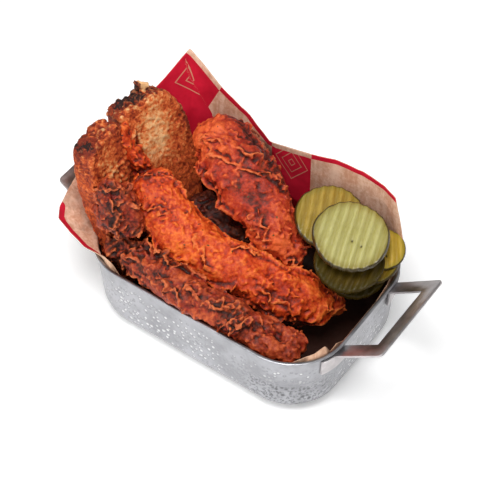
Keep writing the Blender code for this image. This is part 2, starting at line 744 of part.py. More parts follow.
def make_food(liner, collection, cutters):
    """Make each piece and cut it clear of the grown, uncut shapes of the pieces it yields to."""
    room = {"liner": [inflated(liner, cutters)]}

    def place(item, yields_to):
        grown = [inflated(item, cutters)]
        for name in yields_to:
            carve(item, room[name])
        room[item.name] = grown

    def place_tender(name, spines, seed, yields_to):
        item = make_tender(name, spines[0], seed, collection)
        for spine in spines[1:]:
            lobe = make_tender("lobe", spine, seed, cutters)
            boolean(item, lobe, "UNION")
            bpy.data.objects.remove(lobe)
        for other in yields_to:
            carve(item, room[other])
        room[name] = [make_tender("grown", spine, seed, cutters, GAP * GROWTH) for spine in spines]

    place(
        make_toast("toast_a", TOAST_A_TOP, TOAST_A_YAW, TOAST_A_LEAN, TOAST_A_OUTLINE, 3.0, collection),
        ["liner"],
    )
    place(
        make_toast("toast_b", TOAST_B_TOP, TOAST_B_YAW, TOAST_B_LEAN, TOAST_B_OUTLINE, 8.0, collection),
        ["liner", "toast_a"],
    )
    place_tender("tender_1", [TENDER_1], 1.0, ["liner", "toast_a", "toast_b"])
    place_tender("tender_3", [TENDER_3], 3.0, ["liner", "toast_a", "tender_1"])
    place_tender("tender_4", [TENDER_4], 4.0, ["liner", "toast_a", "toast_b", "tender_1"])
    place_tender(
        "tender_2", [TENDER_2, TENDER_2_UPPER, TENDER_2_LOWER], 2.0,
        ["liner", "toast_b", "tender_1", "tender_4"],
    )
    place_tender("tender_5", [TENDER_5], 5.0, ["liner", "toast_a", "tender_3", "tender_1"])
    place_tender(
        "tender_6", [TENDER_6], 6.0,
        ["liner", "toast_a", "toast_b", "tender_1", "tender_2", "tender_3", "tender_4", "tender_5"],
    )
    before = ["liner", "tender_1", "tender_3", "tender_5", "tender_6"]
    for name, (centre, radius, facing, ridges) in PICKLES.items():
        place(make_pickle(name, centre, radius, facing, ridges, collection), before)
        before.append(name)
    for pieces in room.values():
        for grown in pieces:
            bpy.data.objects.remove(grown)


def main():
    clear_scene()
    collection = bpy.data.collections.new(COLLECTION)
    cutters = bpy.data.collections.new("cutters")
    for made in (collection, cutters):
        bpy.context.scene.collection.children.link(made)
    make_pan(collection)
    make_handle("handle_right", 1, collection, cutters)
    make_handle("handle_left", -1, collection, cutters)
    liner = make_liner(collection)
    make_food(liner, collection, cutters)
    for item in collection.objects:
        item.data.materials.clear()
        item.data.materials.append(material(item.name))
    for item in cutters.objects:
        item.hide_render = True
        item.display_type = "WIRE"


main()
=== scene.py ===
"""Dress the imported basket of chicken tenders: crust, toast, chips, checked paper and hammered steel."""

import math
import random

import bmesh
import bpy
import numpy as np
from mathutils import Matrix, Vector, noise
from mathutils.bvhtree import BVHTree
from mathutils.kdtree import KDTree


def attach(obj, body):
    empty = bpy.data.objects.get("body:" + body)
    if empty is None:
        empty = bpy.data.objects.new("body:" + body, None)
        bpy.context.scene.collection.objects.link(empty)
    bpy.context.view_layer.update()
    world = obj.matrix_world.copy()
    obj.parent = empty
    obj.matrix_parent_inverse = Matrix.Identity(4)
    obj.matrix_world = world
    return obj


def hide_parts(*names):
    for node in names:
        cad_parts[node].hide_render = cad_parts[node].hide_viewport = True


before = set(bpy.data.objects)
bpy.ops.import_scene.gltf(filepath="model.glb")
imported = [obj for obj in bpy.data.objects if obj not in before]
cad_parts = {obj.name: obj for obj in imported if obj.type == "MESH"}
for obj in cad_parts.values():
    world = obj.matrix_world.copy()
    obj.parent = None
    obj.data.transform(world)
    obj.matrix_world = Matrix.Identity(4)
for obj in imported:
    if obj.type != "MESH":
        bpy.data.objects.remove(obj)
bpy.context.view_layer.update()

bl_info = {
    "name": "Chicken Tenders Basket",
    "version": (1, 0, 0),
    "blender": (4, 5, 0),
    "location": "View3D > Sidebar > Basket",
    "description": "Makes the food, paper and pan of a basket of chicken tenders around its solids",
    "category": "Object",
}

MM = 0.001
BODY = "root"

# The pan as the solids have it, in metres.
PAN_LENGTH = 0.165
PAN_WIDTH = 0.115
PAN_HEIGHT = 0.050
PAN_CORNER = 0.034
PAN_TAPER = 0.06
PAN_FILLET = 0.011
PAN_WALL = 0.001
LIP_WIDTH = 0.0012
GAP = 0.0003

# Columns of faces round the pan and round the liner, and rows of faces in the loose paper.
PAN_COLUMNS = 880
LINER_COLUMNS = 480
LOOSE_ROWS = 40
# Heights where the liner leaves the pan's wall, and its thickness.
PAPER_LOW_ROW = 0.037
PAPER_HIDDEN_TOP = 0.041
PAPER_RIM = 0.0509
PAPER_THICKNESS = 0.0003
# The paper: rim anchor, then the free edge above it, in millimetres.
PAPER_EDGE = (
    ((-44, -57), (-44, -55.0, 42.0)),
    ((-50, -56), (-50, -54.5, 46.0)),
    ((-55, -56), (-55.5, -53.8, 51.8)),
    ((-61, -55), (-61.5, -53.2, 53.0)),
    ((-66, -54), (-72.5, -56.6, 56.4)),
    ((-72, -49), (-85.0, -54.6, 60.0)),
    ((-77, -43), (-95.4, -51.5, 62.2)),
    ((-79, -38), (-98.8, -46.0, 65.0)),
    ((-81, -30), (-101.2, -35.0, 68.4)),
    ((-82, -18), (-103.0, -22.0, 72.0)),
    ((-82, 0), (-101.5, 0.0, 80.0)),
    ((-82, 20), (-97.0, 23.0, 88.0)),
    ((-80, 36), (-90.0, 45.0, 101.4)),
    ((-73, 48), (-82.3, 60.0, 117.4)),
    ((-60, 56), (-58.5, 59.0, 99.2)),
    ((-38, 57), (-38.1, 58.0, 89.6)),
    ((-30, 57), (-30.0, 57.8, 82.4)),
    ((-24, 57), (-23.6, 57.6, 77.0)),
    ((-19, 57), (-19.0, 57.0, 78.4)),
    ((6, 57), (6.4, 57.0, 84.4)),
    ((22, 57), (22.5, 57.0, 89.4)),
    ((41, 57), (41.3, 56.0, 92.4)),
    ((57, 55), (57.0, 53.6, 92.0)),
    ((66, 52), (67.2, 49.0, 92.6)),
    ((71, 48), (71.6, 48.6, 78.0)),
    ((75, 45), (75.6, 46.8, 66.0)),
    ((77, 42), (78.2, 43.4, 54.6)),
    ((80, 35), (78.2, 34.6, 52.0)),
    ((82, 26), (79.8, 26.0, 48.6)),
    ((82, 16), (79.2, 16.0, 43.0)),
    ((82, -18), (79.2, -18.0, 43.0)),
    ((81, -27), (80.0, -26.6, 50.4)),
    ((80, -31), (79.0, -31.0, 47.0)),
    ((78, -36), (77.4, -34.6, 54.6)),
    ((75, -42), (74.6, -40.4, 52.0)),
    ((70, -48), (70.0, -47.4, 50.8)),
    ((64, -53), (64.0, -51.8, 46.0)),
    ((50, -57), (50.0, -55.2, 42.0)),
)

# Tender spines: x, y, z, half width and half thickness, in millimetres.
FACING = Vector((0.375, -0.529, 0.762))
SPINES = {
    "tender_1": (
        (-61.5, -10.3, 86.0, 12.4, 8.0), (-47.2, -16.8, 73.0, 14.6, 12.0), (-28.0, -21.1, 63.0, 15.0, 13.5),
        (-9.4, -18.9, 56.0, 14.4, 14.0), (10.2, -13.2, 48.0, 14.4, 14.0), (29.1, -7.2, 40.0, 15.0, 13.0),
        (42.8, 1.4, 32.0, 14.3, 11.0), (51.9, 11.0, 26.0, 8.6, 7.5), (58.9, 15.4, 20.0, 4.0, 4.0),
    ),
    "tender_2": (
        (-67.0, -42.5, 48.0, 4.5, 4.0), (-58.6, -42.2, 51.0, 6.6, 6.0), (-46.2, -41.1, 54.0, 8.4, 8.0),
        (-30.5, -44.9, 55.0, 10.6, 10.0), (-13.0, -46.5, 54.0, 11.0, 11.0), (6.9, -48.0, 52.0, 11.4, 11.0),
        (23.4, -45.6, 48.0, 12.0, 10.0), (33.9, -43.0, 45.0, 10.0, 8.0),
    ),
    "tender_3": (
        (-51.0, 32.5, 98.0, 11.4, 8.0), (-35.4, 27.4, 91.0, 16.6, 12.0), (-18.7, 22.7, 82.0, 17.4, 13.0),
        (-2.6, 17.8, 72.0, 16.8, 13.0), (12.4, 14.4, 60.0, 14.3, 11.5), (24.6, 13.2, 50.0, 10.0, 8.0),
        (30.4, 14.0, 46.0, 6.0, 5.0),
    ),
    "tender_4": (
        (-68.3, -36.6, 98.0, 6.7, 5.5), (-61.4, -39.1, 88.0, 11.4, 7.5), (-57.0, -40.0, 77.0, 12.8, 8.5),
        (-56.0, -40.4, 66.0, 10.8, 8.0),
    ),
}

# Frills: tender, then (share along, turn round in degrees) pairs, height in mm and lean towards the camera.
FRILLS = (
    ("tender_1", ((0.18, 26), (0.26, 14), (0.34, 14), (0.40, 30), (0.45, 48), (0.49, 60)), 6.5, -0.2),
    ("tender_1", ((0.50, 44), (0.58, 32), (0.68, 26), (0.78, 32), (0.90, 44)), 4.4, -0.3),
    ("tender_1", ((0.0, 60), (0.02, 90), (0.02, 120)), 3.4, 0.2),
    ("tender_1", ((0.02, 150), (0.10, 160), (0.20, 168), (0.30, 170)), 3.5, 0.3),
    ("tender_1", ((0.04, 40), (0.12, 30), (0.20, 25)), 4.0, 0.3),
    ("tender_1", ((0.44, 160), (0.52, 150), (0.60, 155), (0.70, 160), (0.80, 160)), 4.2, 0.4),
    ("tender_1", ((0.80, 60), (0.90, 80), (0.97, 120)), 3.4, 0.2),
    ("tender_2", ((0.02, 90), (0.12, 110), (0.22, 120), (0.34, 125), (0.44, 120)), 5.0, 0.3),
    ("tender_2", ((0.20, 60), (0.30, 80), (0.40, 70), (0.52, 85), (0.62, 75)), 4.6, -0.3),
    ("tender_2", ((0.10, 30), (0.22, 20), (0.34, 25), (0.46, 15)), 4.0, -0.3),
    ("tender_2", ((0.60, 120), (0.72, 100), (0.84, 110), (0.95, 90)), 4.0, 0.2),
    ("tender_3", ((0.12, 60), (0.24, 80), (0.34, 100), (0.42, 130)), 5.0, -0.4),
    ("tender_3", ((0.22, 110), (0.30, 118), (0.40, 135), (0.48, 150)), 5.0, 0.4),
    ("tender_3", ((0.14, 25), (0.24, 20), (0.34, 10), (0.44, 25), (0.52, 20)), 4.6, -0.3),
    ("tender_3", ((0.50, 75), (0.58, 60), (0.64, 40)), 3.6, -0.3),
    ("tender_3", ((0.62, 20), (0.72, 15), (0.82, 20), (0.92, 30)), 4.2, -0.3),
    ("tender_4", ((0.20, 60), (0.45, 80), (0.70, 70), (0.9, 90)), 3.8, 0.3),
)

# Crust of the first tender that runs up between the toasts: middle and radius of each lump, in millimetres.
TONGUE = (
    (-64.4, -4.2, 65.7, 7.6), (-66.8, -5.7, 72.4, 7.0), (-69.3, -6.6, 79.1, 6.2), (-71.7, -7.6, 85.8, 5.6),
    (-73.7, -8.1, 91.5, 5.2), (-75.7, -8.2, 97.2, 4.8), (-77.6, -8.2, 102.9, 4.4), (-79.4, -8.1, 107.6, 3.8),
)

# Toasts as the solids have them: top of the front face in metres, yaw and lean in degrees.
TOASTS = {
    "toast_a": {"top": (-0.0780, 0.0105, 0.1150), "yaw": 14.0, "lean": 16.0},
    "toast_b": {"top": (-0.0788, -0.0225, 0.1150), "yaw": 0.0, "lean": 12.0},
}

# Parts of the standing flake: middle and size in millimetres.
FLAKE = (
    ((-86.0, 19.6, 112.5), (3.2, 2.6, 9.4)), ((-86.2, 19.4, 117.4), (8.6, 2.8, 3.4)),
    ((-88.8, 17.8, 118.6), (3.0, 2.6, 3.0)),
)

# Pickle chips: centre and radius in mm, direction faced, turn of the ridges in degrees.
PICKLES = {
    "pickle_1": ((54.2, 25.4, 74.0), 22.3, (0.130, -0.180, 0.975), 74.0),
    "pickle_2": ((35.8, 31.8, 72.2), 20.8, (0.120, -0.170, 0.978), 80.0),
    "pickle_3": ((57.8, 19.5, 61.2), 20.5, (0.140, -0.190, 0.972), 66.0),
    "pickle_5": ((70.0, 36.5, 62.5), 12.5, (0.200, -0.260, 0.945), 85.0),
    "pickle_4": ((66.0, 30.0, 56.6), 15.5, (0.120, -0.200, 0.972), 60.0),
    "pickle_6": ((59.2, 23.0, 50.0), 18.5, (0.130, -0.160, 0.978), 70.0),
}

# Seed holes of the first chip, along and across its ridges, in millimetres.
PITS = ((-3.6, -1.5), (-5.6, -7.2))

# Crust of each tender: fold size and depth, flakes each square centimetre, crumb size and depth, colours.
CRUSTS = {
    "tender_1": (11.0, 2.2, 3.0, 2.2, 0.70, "bright"),
    "tender_2": (9.0, 2.3, 2.6, 2.0, 0.70, "brown"),
    "tender_3": (11.0, 2.3, 2.2, 2.2, 0.60, "red"),
    "tender_4": (8.0, 2.2, 3.2, 2.0, 0.80, "brown"),
    # tender_5 and tender_6 take the dull and dark sets: painted shade.
    "tender_5": (9.0, 2.4, 3.0, 2.2, 0.70, "dull"),
    "tender_6": (9.0, 2.4, 3.0, 2.2, 0.70, "dark"),
}
# Crevice, middle and crest colours of the crusts, as 8-bit values. Crevice colours partly paint the shade in
# crevices; the dull and dark sets paint the shade on tender_5 and tender_6, which lie low behind the others.
CRUST_COLOURS = {
    "bright": ((112, 28, 6), (200, 62, 18), (236, 114, 42)),
    "red": ((88, 22, 6), (172, 48, 20), (220, 96, 44)),
    "brown": ((64, 18, 6), (146, 48, 20), (200, 92, 46)),
    "dull": ((66, 24, 14), (136, 60, 34), (190, 106, 66)),
    "dark": ((34, 10, 6), (78, 28, 16), (120, 56, 32)),
}
# How calm the side towards the camera is, and how many random frills a tender has.
CALM = {"tender_1": 0.7, "tender_3": 0.65, "tender_2": 0.2}
MORE_FRILLS = {"tender_1": 5, "tender_2": 14, "tender_3": 6, "tender_4": 9}
# Painted light and shade on the crust, lighter where light falls and darker on shaded flanks and undersides:
# tender, share along, turn, reach of each, amount.
TONES = (
    ("tender_1", 0.28, 85, 0.14, 50, 0.55), ("tender_1", 0.66, 5, 0.20, 24, -1.5),
    ("tender_1", 0.50, 160, 0.30, 30, 0.3), ("tender_1", 0.80, 70, 0.14, 40, 0.2),
    ("tender_1", 0.45, -60, 0.6, 50, -1.0), ("tender_2", 0.15, 20, 0.2, 40, -0.5),
    ("tender_3", 0.08, 70, 0.12, 60, 0.6), ("tender_3", 0.25, 165, 0.3, 32, -0.8),
    ("tender_3", 0.72, 70, 0.12, 45, 0.5), ("tender_3", 0.46, 90, 0.10, 50, -0.4),
    ("tender_2", 0.60, 80, 0.3, 50, 0.3), ("tender_2", 0.50, 80, 1.0, 120, -0.2),
    ("tender_4", 0.50, 80, 1.0, 120, -0.25), ("tender_1", 0.0, 90, 0.05, 120, -0.15),
    ("tender_1", 0.92, 60, 0.14, 70, 0.3), ("tender_3", 0.50, 90, 0.5, 80, 0.15),
)


def srgb(colour):
    """8-bit colour to the linear values that shaders use."""
    values = []
    for part in colour:
        share = part / 255
        values.append(share / 12.92 if share <= 0.04045 else ((share + 0.055) / 1.055) ** 2.4)
    return (*values, 1.0)


class Value:
    """A node's output in plain arithmetic: each sign adds a math node."""

    def __init__(self, graph, socket):
        self.graph = graph
        self.socket = socket

    def other(self, name):
        """Another output of the same node."""
        return Value(self.graph, self.socket.node.outputs[name])

    def __add__(self, other):
        return self.graph.math("ADD", self, other)

    def __sub__(self, other):
        return self.graph.math("SUBTRACT", self, other)

    def __rsub__(self, other):
        return self.graph.math("SUBTRACT", other, self)

    def __mul__(self, other):
        return self.graph.math("MULTIPLY", self, other)

    def __truediv__(self, other):
        return self.graph.math("DIVIDE", self, other)

    def __rtruediv__(self, other):
        return self.graph.math("DIVIDE", other, self)

    def __abs__(self):
        return self.graph.math("ABSOLUTE", self)

    __radd__ = __add__
    __rmul__ = __mul__


class Graph:
    """Short way to fill a node tree: each call adds a node and wires its inputs."""

    def __init__(self, tree):
        self.tree = tree

    def feed(self, socket, value):
        """Link a value to an input, or set the input to a plain number, vector or colour."""
        if isinstance(value, Value):
            value = value.socket
        if isinstance(value, bpy.types.NodeSocket):
            self.tree.links.new(value, socket)
        else:
            socket.default_value = value

    def add(self, kind, values=None, **settings):
        made = self.tree.nodes.new(kind)
        for key, value in settings.items():
            setattr(made, key, value)
        for key, value in (values or {}).items():
            named = [s for s in made.inputs if s.name == key and s.enabled]
            self.feed(made.inputs[key] if isinstance(key, int) else named[0], value)
        return made

    def out(self, kind, values=None, key=0, **settings):
        """One output of a new node; a key of None takes the first that is in use."""
        outputs = self.add(kind, values, **settings).outputs
        return Value(self, [s for s in outputs if s.enabled][0] if key is None else outputs[key])

    def math(self, operation, one, two=0.0, clamp=False):
        return self.out("ShaderNodeMath", {0: one, 1: two}, operation=operation, use_clamp=clamp)

    def vector(self, operation, one, two=None):
        values = {0: one}
        if two is not None:
            values[3 if operation == "SCALE" else 1] = two
        key = "Value" if operation in ("DOT_PRODUCT", "LENGTH") else "Vector"
        return self.out("ShaderNodeVectorMath", values, key, operation=operation)

    def noise(self, place, scale, detail=2.0, roughness=0.5, distortion=0.0):
        values = {
            "Vector": place, "Scale": scale, "Detail": detail, "Roughness": roughness,
            "Distortion": distortion,
        }
        return self.out("ShaderNodeTexNoise", values)

    def cells(self, place, scale, randomness=1.0, **settings):
        """Distance to the nearest of many scattered points."""
        values = {"Vector": place, "Scale": scale, "Randomness": randomness}
        return self.out("ShaderNodeTexVoronoi", values, **{"feature": "F1", **settings})

    def span(self, value, low, high, to_low=0.0, to_high=1.0):
        values = {"Value": value, "From Min": low, "From Max": high, "To Min": to_low, "To Max": to_high}
        return self.out("ShaderNodeMapRange", values, interpolation_type="SMOOTHSTEP")

    def mix(self, share, one, two, blend="MIX"):
        values = {"Factor": share, "A": one, "B": two}
        return self.out("ShaderNodeMix", values, None, data_type="RGBA", blend_type=blend)

    def ramp(self, value, stops):
        made = self.add("ShaderNodeValToRGB", {0: value})
        ramp = made.color_ramp
        ramp.elements[0].position, ramp.elements[0].color = stops[0]
        ramp.elements[1].position, ramp.elements[1].color = stops[-1]
        for position, colour in stops[1:-1]:
            ramp.elements.new(position).color = colour
        return Value(self, made.outputs[0])


def new_shader(name):
    """A material with its Principled shader, its graph and object coordinates."""
    made = bpy.data.materials.new(name)
    made.use_nodes = True
    graph = Graph(made.node_tree)
    shader = made.node_tree.nodes["Principled BSDF"]
    return made, graph, shader, graph.out("ShaderNodeTexCoord", None, "Object")


def wire(graph, shader, **sockets):
    for name, value in sockets.items():
        graph.feed(shader.inputs[name.replace("_", " ")], value)


def attributes(graph, *names):
    """The stored values of a mesh, in the order of their names."""
    return [graph.out("ShaderNodeAttribute", None, "Fac", attribute_name=name) for name in names]


def bump(graph, shader, height, distance, strength=1.0):
    values = {"Height": height, "Distance": distance, "Strength": strength}
    wire(graph, shader, Normal=graph.out("ShaderNodeBump", values, "Normal"))


# Meshes.


def link_object(name, mesh):
    item = bpy.data.objects.new(name, mesh)
    bpy.context.scene.collection.objects.link(item)
    return item


def face_out(mesh):
    """Turn all faces of a closed mesh outwards."""
    bm = bmesh.new()
    bm.from_mesh(mesh)
    bmesh.ops.recalc_face_normals(bm, faces=bm.faces)
    bm.to_mesh(mesh)
    bm.free()


def plain(item):
    """Replace the object's mesh by its evaluated one and take the modifiers off."""
    graph = bpy.context.evaluated_depsgraph_get()
    graph.update()
    result = bpy.data.meshes.new_from_object(item.evaluated_get(graph))
    item.modifiers.clear()
    item.data = result
    result.name = item.name
    return item


def copy_of_node(node, name):
    """A merged copy of a solid's mesh as a new object."""
    bm = bmesh.new()
    bm.from_mesh(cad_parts[node].data)
    bmesh.ops.remove_doubles(bm, verts=bm.verts, dist=0.00001)
    bmesh.ops.recalc_face_normals(bm, faces=bm.faces)
    mesh = bpy.data.meshes.new(name)
    bm.to_mesh(mesh)
    bm.free()
    return link_object(name, mesh)


def remesh(item, voxel):
    change = item.modifiers.new("remesh", "REMESH")
    change.mode = "VOXEL"
    change.voxel_size = voxel
    change.use_smooth_shade = True


def soften(item, rounds, share=0.5):
    change = item.modifiers.new("soften", "SMOOTH")
    change.iterations = rounds
    change.factor = share


def mesh_from(name, points, faces, smooth=True):
    mesh = bpy.data.meshes.new(name)
    mesh.from_pydata([tuple(p) for p in points], [], faces)
    mesh.update()
    if smooth:
        mesh.shade_smooth()
    return mesh


def set_values(mesh, name, values):
    made = mesh.attributes.new(name, "FLOAT", "POINT")
    made.data.foreach_set("value", np.asarray(values, dtype=np.float32))


def points_of(mesh):
    values = np.empty(len(mesh.vertices) * 3, dtype=np.float32)
    mesh.vertices.foreach_get("co", values)
    return values.reshape(-1, 3).astype(float)


def set_points(mesh, points):
    mesh.vertices.foreach_set("co", np.asarray(points, dtype=np.float32).ravel())
    mesh.update()


def add_nodes(item, tree, **inputs):
    """Put a node tree on an object as a modifier and set its inputs by identifier."""
    change = item.modifiers.new(tree.name, "NODES")
    change.node_group = tree
    names = {s.name: s.identifier for s in tree.interface.items_tree if s.in_out == "INPUT"}
    for name, value in inputs.items():
        change[names[name.replace("_", " ")]] = value
    item.update_tag()


def new_tree(name, *inputs):
    """A geometry node tree with named inputs, a seed and a material; returns its graph and its inputs."""
    tree = bpy.data.node_groups.new(name, "GeometryNodeTree")
    tree.interface.new_socket("Geometry", in_out="OUTPUT", socket_type="NodeSocketGeometry")
    kinds = [("Geometry", "Geometry"), *[(label, "Float") for label in inputs], ("Seed", "Int")]
    for label, kind in (*kinds, ("Material", "Material")):
        tree.interface.new_socket(label, in_out="INPUT", socket_type="NodeSocket" + kind)
    graph = Graph(tree)
    sockets = graph.add("NodeGroupInput").outputs
    return graph, {socket.name: Value(graph, socket) for socket in sockets if socket.name}


def surface(graph, given, shift):
    """Place of each point, the place shifted by the seed, and the normal."""
    place = graph.out("GeometryNodeInputPosition")
    moved = graph.vector("ADD", place, given["Seed"] * shift)
    return place, moved, graph.out("GeometryNodeInputNormal")


def stored(graph, name, kind="FLOAT"):
    return graph.out("GeometryNodeInputNamedAttribute", {"Name": name}, data_type=kind)


def shifted(graph, given, offset):
    return graph.out("GeometryNodeSetPosition", {"Geometry": given["Geometry"], "Offset": offset})


def keep(graph, shape, name, value):
    """Store a value on each point."""
    values = {"Geometry": shape, "Name": name, "Value": value}
    return graph.out("GeometryNodeStoreNamedAttribute", values, data_type="FLOAT", domain="POINT")


def keep_relief(graph, shape, name, place, normal, rounds):
    """Store how far each point stands out of its surroundings, in millimetres."""
    values = {"Value": place, "Iterations": rounds}
    blurred = graph.out("GeometryNodeBlurAttribute", values, None, data_type="FLOAT_VECTOR")
    out = graph.vector("DOT_PRODUCT", graph.vector("SUBTRACT", place, blurred), normal)
    return keep(graph, shape, name, out * 1000.0)


def close_tree(graph, given, geometry):
    """Realize the instances and set the material, as every tree here ends."""
    real = graph.out("GeometryNodeRealizeInstances", {"Geometry": geometry})
    done = graph.out("GeometryNodeSetMaterial", {"Geometry": real, "Material": given["Material"]})
    graph.add("NodeGroupOutput", {0: done})
    return graph.tree


def finish_piece(item, slot, *nodes):
    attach(item, BODY)
    if nodes:
        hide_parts(*nodes)


# Node trees for the crust.


def fold_tree():
    """Break a surface into leaning plates and folds, less so where it is calm, with fused flakes."""
    graph, given = new_tree("Crust Folds", "Fold Size", "Fold Depth", "Flake Density", "Flake Size")
    moved = surface(graph, given, 0.37)[1]
    push = stored(graph, "push", "FLOAT_VECTOR")
    size = given["Fold Size"]
    per_size = 1.0 / size
    slow = graph.noise(moved, per_size * 0.45, 2.0)
    patches = graph.span(graph.noise(moved, 70.0, 2.0), 0.38, 0.56, 0.35, 1.0)
    calm = stored(graph, "calm") * patches
    swing = graph.vector("SUBTRACT", slow.other("Color"), (0.5, 0.5, 0.5))
    warped = graph.vector("ADD", moved, graph.vector("SCALE", swing, size * 1.9))
    many = graph.noise(warped, per_size * 0.7, 2.5, 0.6) * 7.0
    rise = graph.span(graph.math("FRACT", many), 0.34, 0.60)
    stepped = (graph.math("FLOOR", many) + rise) / 7.0
    apart = graph.vector("ADD", warped, (0.31, 0.17, 0.23))
    off = abs(graph.noise(apart, per_size * 0.75, 1.6, 0.5) - 0.5)
    crest = graph.math("SUBTRACT", 1.0, off * 7.0, clamp=True)
    crest = graph.math("POWER", crest, 1.5) - 0.3
    free = 1.0 - calm * 0.72
    height = ((stepped - 0.5) * 3.8 + crest * 0.55) * free
    height = (height + (slow - 0.5) * 2.0) * given["Fold Depth"]
    lean_way = graph.noise(moved, per_size * 0.4).other("Color")
    lean_way = graph.vector("SUBTRACT", lean_way, (0.5, 0.5, 0.5))
    lean = graph.vector("SCALE", lean_way, height * free * 5.0)
    folded = shifted(graph, given, graph.vector("ADD", graph.vector("SCALE", push, height), lean))
    density = given["Flake Density"] * (1.0 - calm * 0.85)
    shapes = ((0.5, 0.35, 0.16), (1.6, 1.0, 0.34))
    flakes = scattered(graph, given, folded, density, 2, shapes, given["Flake Size"], 0.9)
    joined = graph.add("GeometryNodeJoinGeometry")
    graph.feed(joined.inputs[0], flakes)
    graph.feed(joined.inputs[0], folded)
    return close_tree(graph, given, joined.outputs[0])


def scattered(graph, given, surface, density, roundness, shapes, size, tilt):
    """Flakes of random shape and tilt, spread over a surface."""
    seed = given["Seed"]
    values = {"Mesh": surface, "Density": density, "Seed": seed}
    spots = graph.out("GeometryNodeDistributePointsOnFaces", values, "Points", distribute_method="RANDOM")
    flake = graph.out("GeometryNodeMeshIcoSphere", {"Radius": 1.0, "Subdivisions": roundness})
    values = {"Min": shapes[0], "Max": shapes[1], "Seed": seed}
    shape = graph.out("FunctionNodeRandomValue", values, data_type="FLOAT_VECTOR")
    values = {"Min": (-tilt, -tilt, -3.1), "Max": (tilt, tilt, 3.1), "Seed": seed}
    turn = graph.out("FunctionNodeRandomValue", values, data_type="FLOAT_VECTOR")
    values = {0: spots.other("Rotation"), 1: graph.out("FunctionNodeEulerToRotation", {0: turn})}
    turned = graph.out("FunctionNodeRotateRotation", values, rotation_space="LOCAL")
    scale = graph.vector("SCALE", shape, size)
    values = {"Points": spots, "Instance": flake, "Rotation": turned, "Scale": scale}
    return graph.out("GeometryNodeInstanceOnPoints", values)


def crumb_tree():
    """Roughen a fused surface with crumbs and keep how far each point stands out, in millimetres."""
    graph, given = new_tree("Crust Crumbs", "Crumb Size", "Crumb Depth")
    place, moved, normal = surface(graph, given, 0.53)
    per_size = 1.0 / given["Crumb Size"]
    rough = graph.noise(moved, per_size, 3.0, 0.6, 0.4)
    cells = graph.cells(moved, per_size)
    height = (rough - 0.5 + (0.45 - cells) * 0.8) * given["Crumb Depth"]
    shape = shifted(graph, given, graph.vector("SCALE", normal, height))
    for label, rounds in (("relief", 5), ("hollow", 45)):
        shape = keep_relief(graph, shape, label, place, normal, rounds)
    return close_tree(graph, given, shape)


def crust_material(name, colours):
    """Fried coating: painted shade darkens its crevices, thin crests go tan (partly paler crisp crust, partly
    painted highlight), with dark specks and a little oil.
    """
    deep, middle, high = [srgb(colour) for colour in CRUST_COLOURS[colours]]
    made, graph, shader, place = new_shader(name)
    hollow, relief, tone, edge = attributes(graph, "hollow", "relief", "tone", "edge")
    broad = graph.noise(place, 60.0, 3.0, 0.6, 0.6)
    patch = graph.noise(place, 260.0, 4.0, 0.65, 0.8)
    grain = graph.noise(place, 1300.0, 3.0, 0.6)
    # Painted light and shade: low points darken and raised points lighten, and the stored tone adds painted
    # light and shade.
    level = hollow * 0.52 + relief * 1.2 + (broad - 0.5) * 1.5 + (patch - 0.5) * 1.2
    level = (level + (grain - 0.5) * 0.8 + tone) * 0.5 + 0.54
    # The near-black first stop is painted shade deep in the crevices.
    dark = tuple(part * 0.4 for part in deep[:3]) + (1.0,)
    colour = graph.ramp(level, ((0.02, dark), (0.24, deep), (0.56, middle), (0.92, high)))
    red = graph.span(graph.noise(place, 150.0, 3.0, 0.6, 1.0), 0.54, 0.66)
    colour = graph.mix(red * 0.5, colour, srgb((150, 24, 12)))
    # Crest colour on raised points and frill tops: partly paler crisp crust, partly painted highlight.
    crest = graph.span(hollow + relief * 1.5, 1.0, 2.8)
    edge = edge * graph.span(hollow, 0.0, 1.2, 0.1, 0.75)
    crest = graph.math("MAXIMUM", crest * 0.45, edge)
    colour = graph.mix(crest, colour, graph.mix(patch, srgb((190, 80, 34)), srgb((234, 146, 88))))
    speck = graph.cells(place, 260.0)
    size = graph.span(speck.other("Color"), 0.55, 1.0) * 0.18
    spots = graph.math("LESS_THAN", speck, size)
    colour = graph.mix(spots * 0.75, colour, srgb((52, 14, 10)))
    wire(graph, shader, Base_Color=colour, Roughness=graph.span(patch, 0.3, 0.7, 0.40, 0.62))
    wire(graph, shader, Specular_IOR_Level=0.32, Subsurface_Weight=0.05, Subsurface_Scale=0.002)
    shader.inputs["Subsurface Radius"].default_value = (1.0, 0.35, 0.15)
    height = grain + graph.noise(place, 3600.0, 2.0) * 0.5
    bump(graph, shader, height, 0.0003, 0.8)
    return made


def spline(keys, t):
    """Catmull-Rom value of a table of tuples at t from 0 to 1."""
    last = len(keys) - 1
    at = t * last
    i = min(int(at), last - 1)
    f = at - i
    p0, p1, p2, p3 = keys[max(i - 1, 0)], keys[i], keys[i + 1], keys[min(i + 2, last)]
    return [
        0.5 * (2 * b + (c - a) * f + (2 * a - 5 * b + 4 * c - d) * f * f + (3 * b - a - 3 * c + d) * f ** 3)
        for a, b, c, d in zip(p0, p1, p2, p3)
    ]


